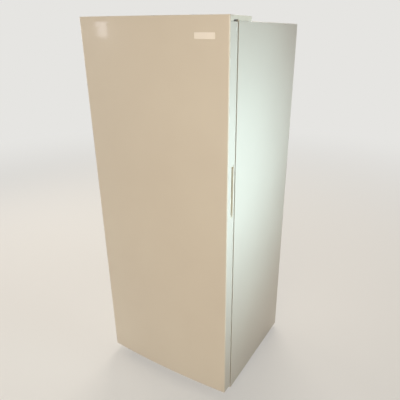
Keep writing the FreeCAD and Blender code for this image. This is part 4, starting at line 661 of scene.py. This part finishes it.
def louvre_hoods():
    """The pressed hoods over the slots of the rear cover, open downward."""
    low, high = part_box("rear_machine_cover")
    points, faces = [], []
    for column in range(HOOD_COLUMNS):
        x0 = HOOD_COLUMN_PITCH * (column - (HOOD_COLUMNS - 1) / 2)
        for row in range(HOOD_ROWS):
            z0 = low.z + HOOD_FROM_DECK + HOOD_PITCH * row + HOOD_HEIGHT / 2
            first = len(points)
            for k in range(HOOD_UP + 1):
                level = k / HOOD_UP
                crown = math.cos(level * math.pi / 2) ** HOOD_FALL
                for i in range(HOOD_ACROSS + 1):
                    place = 2 * i / HOOD_ACROSS - 1
                    end = (1 - abs(place) ** HOOD_SQUARE_END) ** 0.5
                    points.append((x0 + place * HOOD_LENGTH / 2, high.y + HOOD_PROUD * end * crown,
                                   z0 - HOOD_HEIGHT * HOOD_LIP + HOOD_HEIGHT * (1 + HOOD_LIP) * level))
            for k in range(HOOD_UP):
                for i in range(HOOD_ACROSS):
                    a = first + k * (HOOD_ACROSS + 1) + i
                    faces.append((a, a + HOOD_ACROSS + 1, a + HOOD_ACROSS + 2, a + 1))
    make_piece("louvre_hoods", points, faces, "grey_sheet", "cabinet")


# --- Screws and feet ------------------------------------------------------------------------------------
def screw_head(name, seat, outward, height, body):
    """A pan head with a cross recess, domed outward from its seat, and its plain shank."""
    out = Vector(outward)
    side = out.orthogonal().normalized()
    other = out.cross(side)
    profile = [(SHANK_SHARE, -SCREW_SHANK / height), (SHANK_SHARE, 0.0)] + PAN_HEAD
    points = []
    for reach, rise in profile:
        points += [seat + (side * c + other * s) * SCREW_RADIUS * reach + out * height * rise
                   for c, s in circle(SCREW_STEPS)]
    for depth, taper in ((0.0, 1.0), (SCREW_DISH, RECESS_TAPER)):
        for c, s in circle(SCREW_STEPS):
            arm = max(abs(c * c - s * s) ** 3, RECESS_WAIST) * RECESS_REACH * SCREW_RADIUS * taper
            points.append(seat + (side * c + other * s) * arm + out * (height - depth))
    rings = len(profile) + 2
    faces = ring_faces(rings, SCREW_STEPS)
    faces.append(tuple((rings - 1) * SCREW_STEPS + i for i in range(SCREW_STEPS)))
    faces.append(tuple(reversed(range(SCREW_STEPS))))
    piece = make_piece(name, points, faces, "bright_steel", body)
    split_edges(piece, SCREW_CREASE)
    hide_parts("screws")


def all_screws():
    """The screws of the top hinge, the bottom hinge and the rear cover."""
    panel_low, panel_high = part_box("rear_machine_cover")
    shell_low, shell_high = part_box("outer_shell")
    for column, x in enumerate((-PANEL_SCREW_X, 0.0, PANEL_SCREW_X)):
        for row, z in enumerate((panel_low.z + PANEL_SCREW_LOW, panel_high.z - PANEL_SCREW_HIGH)):
            screw_head("panel_screw_%d_%d" % (column, row), Vector((x, panel_high.y, z)), (0, 1, 0),
                       PANEL_SCREW_HEIGHT, "cabinet")
    x_pin = shell_high.x - PIN_FROM_SIDE
    for i, setback in enumerate(HINGE_SCREW_Y):
        seat = Vector((x_pin, shell_low.y + setback, shell_high.z + HINGE_PLATE))
        screw_head("hinge_screw_%d" % i, seat, (0, 0, 1), HINGE_SCREW_HEIGHT, "cabinet")
    for i, setback in enumerate(FOOT_SCREW_X):
        seat = Vector((x_pin - setback, shell_low.y - HINGE_PLATE, FOOT_SCREW_Z))
        screw_head("foot_screw_%d" % i, seat, (0, -1, 0), FOOT_SCREW_HEIGHT, "cabinet")


def foot_thread(side):
    """The rolled thread on a levelling foot's stem, and its ribbed rubber pad."""
    name = "foot_left" if side < 0 else "foot_right"
    low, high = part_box(name)
    centre = Vector(((low.x + high.x) / 2, (low.y + high.y) / 2, 0.0))
    rows = int((high.z - PAD_HEIGHT) / THREAD_PITCH * THREAD_ROWS)
    points = []
    for row in range(rows + 1):
        z = PAD_HEIGHT + (high.z - PAD_HEIGHT) * row / rows
        for i, (c, s) in enumerate(circle(THREAD_STEPS)):
            phase = (z / THREAD_PITCH - i / THREAD_STEPS) % 1.0
            radius = STEM_RADIUS - THREAD_DEPTH * abs(2 * phase - 1)
            points.append(centre + Vector((radius * c, radius * s, z)))
    faces = ring_faces(rows + 1, THREAD_STEPS)
    faces.append(tuple(rows * THREAD_STEPS + i for i in range(THREAD_STEPS)))
    thread = make_piece(name + "_thread", points, faces, "bright_steel", name)
    around = 2 * PAD_RIBS
    pad_points = []
    for reach, rise in PAD_PROFILE:
        for i, (c, s) in enumerate(circle(around)):
            groove = PAD_GROOVE if reach == 1.0 and i % 2 == 0 else 1.0
            radius = (high.x - low.x) / 2 * reach * groove
            pad_points.append(centre + Vector((radius * c, radius * s, low.z + rise * PAD_HEIGHT)))
    pad_faces = ring_faces(len(PAD_PROFILE), around)
    pad_faces.append(tuple(reversed(range(around))))
    pad_faces.append(tuple((len(PAD_PROFILE) - 1) * around + i for i in range(around)))
    pad = make_piece(name + "_pad", pad_points, pad_faces, "rubber", name, smooth=False)
    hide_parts(name)
    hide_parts(name)


# --- Thermostat dial ------------------------------------------------------------------------------------
def dial_numbers():
    """Plain numbers printed round the knob, on the console's front."""
    low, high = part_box("thermostat_knob")
    console_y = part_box("control_housing")[0].y
    ink = moulded_plastic("dial_ink", "#4A4F55", "#555A60", 0.5, 1.0, 0.01)
    for number in range(DIAL_NUMBERS):
        name = "dial_%d" % number
        angle = math.radians(90.0 + DIAL_SWEEP / 2 - DIAL_SWEEP * number / (DIAL_NUMBERS - 1))
        curve = bpy.data.curves.new(name, "FONT")
        curve.body = str(number + 1)
        curve.size = DIAL_TEXT
        curve.align_x = "CENTER"
        curve.align_y = "CENTER"
        curve.extrude = INK_THICKNESS
        curve.materials.append(ink)
        digit = bpy.data.objects.new(name, curve)
        bpy.context.scene.collection.objects.link(digit)
        digit.rotation_euler = (math.radians(90), 0.0, 0.0)
        digit.location = ((low.x + high.x) / 2 + DIAL_RADIUS * math.cos(angle), console_y - INK_PROUD,
                          (low.z + high.z) / 2 + DIAL_RADIUS * math.sin(angle))
        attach(digit, "cabinet")


# --- Stage, light and camera ----------------------------------------------------------------------------
def seen_directly(tree):
    """1 for the rays that show the backdrop: straight, mirrored and through glass."""
    path = add(tree, "ShaderNodeLightPath").outputs
    first = add(tree, "ShaderNodeMath", {"operation": "MAXIMUM"},
                {0: path["Is Camera Ray"], 1: path["Is Transmission Ray"]})
    second = add(tree, "ShaderNodeMath", {"operation": "MAXIMUM"},
                 {0: first.outputs["Value"], 1: path["Is Glossy Ray"]})
    return second.outputs["Value"]


def pale_floor():
    """A pale floor that runs out into the backdrop's own colour."""
    points = [(0.0, 0.0, 0.0)]
    points += [(FLOOR_RADIUS * c, FLOOR_RADIUS * s, 0.0) for c, s in circle(FLOOR_STEPS)]
    faces = [(0, i + 1, (i + 1) % FLOOR_STEPS + 1) for i in range(FLOOR_STEPS)]
    mesh = bpy.data.meshes.new("floor")
    mesh.from_pydata(points, [], faces)
    floor = bpy.data.objects.new("floor", mesh)
    bpy.context.scene.collection.objects.link(floor)
    material, tree, shader, place = start_material("pale_floor", Base_Color=srgb("#E2E0DC"), Roughness=0.65)
    distance = add(tree, "ShaderNodeVectorMath", {"operation": "LENGTH"}, {"Vector": place})
    fade = add(tree, "ShaderNodeMapRange", {"From Min": FLOOR_NEAR, "From Max": FLOOR_FAR,
                                            "To Min": FLOOR_GLOW, "interpolation_type": "SMOOTHSTEP"},
               {"Value": distance.outputs["Value"]})
    far = add(tree, "ShaderNodeMath", {"operation": "MULTIPLY"},
              {0: fade.outputs["Result"], 1: seen_directly(tree)})
    glow = add(tree, "ShaderNodeEmission", {"Color": srgb(BACKDROP), "Strength": 1.0})
    mix = add(tree, "ShaderNodeMixShader",
              links={0: far.outputs["Value"], 1: shader.outputs["BSDF"], 2: glow.outputs["Emission"]})
    output = next(node for node in tree.nodes if node.type == "OUTPUT_MATERIAL")
    tree.links.new(mix.outputs["Shader"], output.inputs["Surface"])
    mesh.materials.append(material)


def studio_world():
    """A pale backdrop for the eye, and a weaker even fill for the light."""
    world = bpy.data.worlds.new("studio")
    bpy.context.scene.world = world
    world.use_nodes = True
    tree = world.node_tree
    tree.nodes.clear()
    fill = add(tree, "ShaderNodeBackground", {"Color": srgb("#EBDBC4"), "Strength": 0.27})
    seen = add(tree, "ShaderNodeBackground", {"Color": srgb(BACKDROP), "Strength": 1.0})
    mix = add(tree, "ShaderNodeMixShader", links={0: seen_directly(tree), 1: fill.outputs["Background"],
                                                  2: seen.outputs["Background"]})
    add(tree, "ShaderNodeOutputWorld", links={"Surface": mix.outputs["Shader"]})


def soft_box(name, place, target, width, height, power, colour, spread=180.0, mirrored=True):
    """A rectangular studio lamp aimed at a point; spread is the angle of its grid. A lamp that isn't
    mirrored lights the enamel without showing in its gloss."""
    light = bpy.data.lights.new(name, "AREA")
    light.shape = "RECTANGLE"
    light.size = width
    light.size_y = height
    light.energy = power
    light.color = srgb(colour)[:3]
    light.spread = math.radians(spread)
    lamp = bpy.data.objects.new(name, light)
    bpy.context.scene.collection.objects.link(lamp)
    lamp.location = place
    lamp.rotation_euler = (Vector(target) - Vector(place)).to_track_quat("-Z", "Y").to_euler()
    lamp.visible_glossy = mirrored


def studio_lamps():
    """A warm key on the door, a cooler lamp on the right that falls off down the side, and two fills."""
    soft_box("key", (0.9, -4.6, 1.9), (0.9, -0.3, 1.5), 2.6, 2.6, 38.5, "#FFEAD0", 100.0)
    soft_box("side", (2.4, 0.02, 1.34), (0.354, -0.36, 1.12), 0.6, 0.6, 5.1, "#DCF8FF", 54.0, False)
    soft_box("left", (-3.0, 0.4, 2.2), (-0.35, 0.0, 1.0), 2.0, 2.0, 36.0, "#FFF3E2")
    soft_box("back", (-1.2, 2.8, 4.2), (0.0, 0.3, 1.0), 2.5, 2.5, 120.0, "#FFF6EA")
    soft_box("glint", (-1.757, -1.609, 1.712), (-0.222, -0.327, 1.699), 0.12, 0.12, 0.45, "#F6F5FF")


def photo_camera():
    """The photograph's camera, from its place, its turn, tilt and roll, and its centre pixel."""
    right = Vector((math.cos(CAMERA_YAW), math.sin(CAMERA_YAW), 0.0))
    ahead = Vector((-math.sin(CAMERA_YAW) * math.cos(CAMERA_PITCH),
                    math.cos(CAMERA_YAW) * math.cos(CAMERA_PITCH), -math.sin(CAMERA_PITCH)))
    up = right.cross(ahead)
    rolled_right = right * math.cos(CAMERA_ROLL) + up * math.sin(CAMERA_ROLL)
    rolled_up = up * math.cos(CAMERA_ROLL) - right * math.sin(CAMERA_ROLL)
    data = bpy.data.cameras.new("photo_camera")
    data.sensor_fit = "HORIZONTAL"
    data.sensor_width = SENSOR
    data.lens = FOCAL_PIXELS * SENSOR / IMAGE_SIZE
    data.shift_x = (IMAGE_SIZE / 2 - CENTRE_PIXEL_X) / IMAGE_SIZE
    data.shift_y = (CENTRE_PIXEL_Y - IMAGE_SIZE / 2) / IMAGE_SIZE
    data.clip_end = CAMERA_REACH
    camera = bpy.data.objects.new("photo_camera", data)
    bpy.context.scene.collection.objects.link(camera)
    turn = Matrix((rolled_right, rolled_up, -ahead)).transposed()
    camera.matrix_world = Matrix.Translation(CAMERA_PLACE) @ turn.to_4x4()
    bpy.context.scene.camera = camera


# --- Put it together ------------------------------------------------------------------------------------
dress_nodes()
door_panel()
door_seal()
blank_badge()
basket_rim()
for number in range(1, BIN_COUNT + 1):
    bin_rail(number)
louvre_hoods()
all_screws()
foot_thread(-1)
foot_thread(1)
dial_numbers()
pale_floor()
studio_world()
studio_lamps()
photo_camera()
bpy.context.scene.view_settings.view_transform = "Standard"
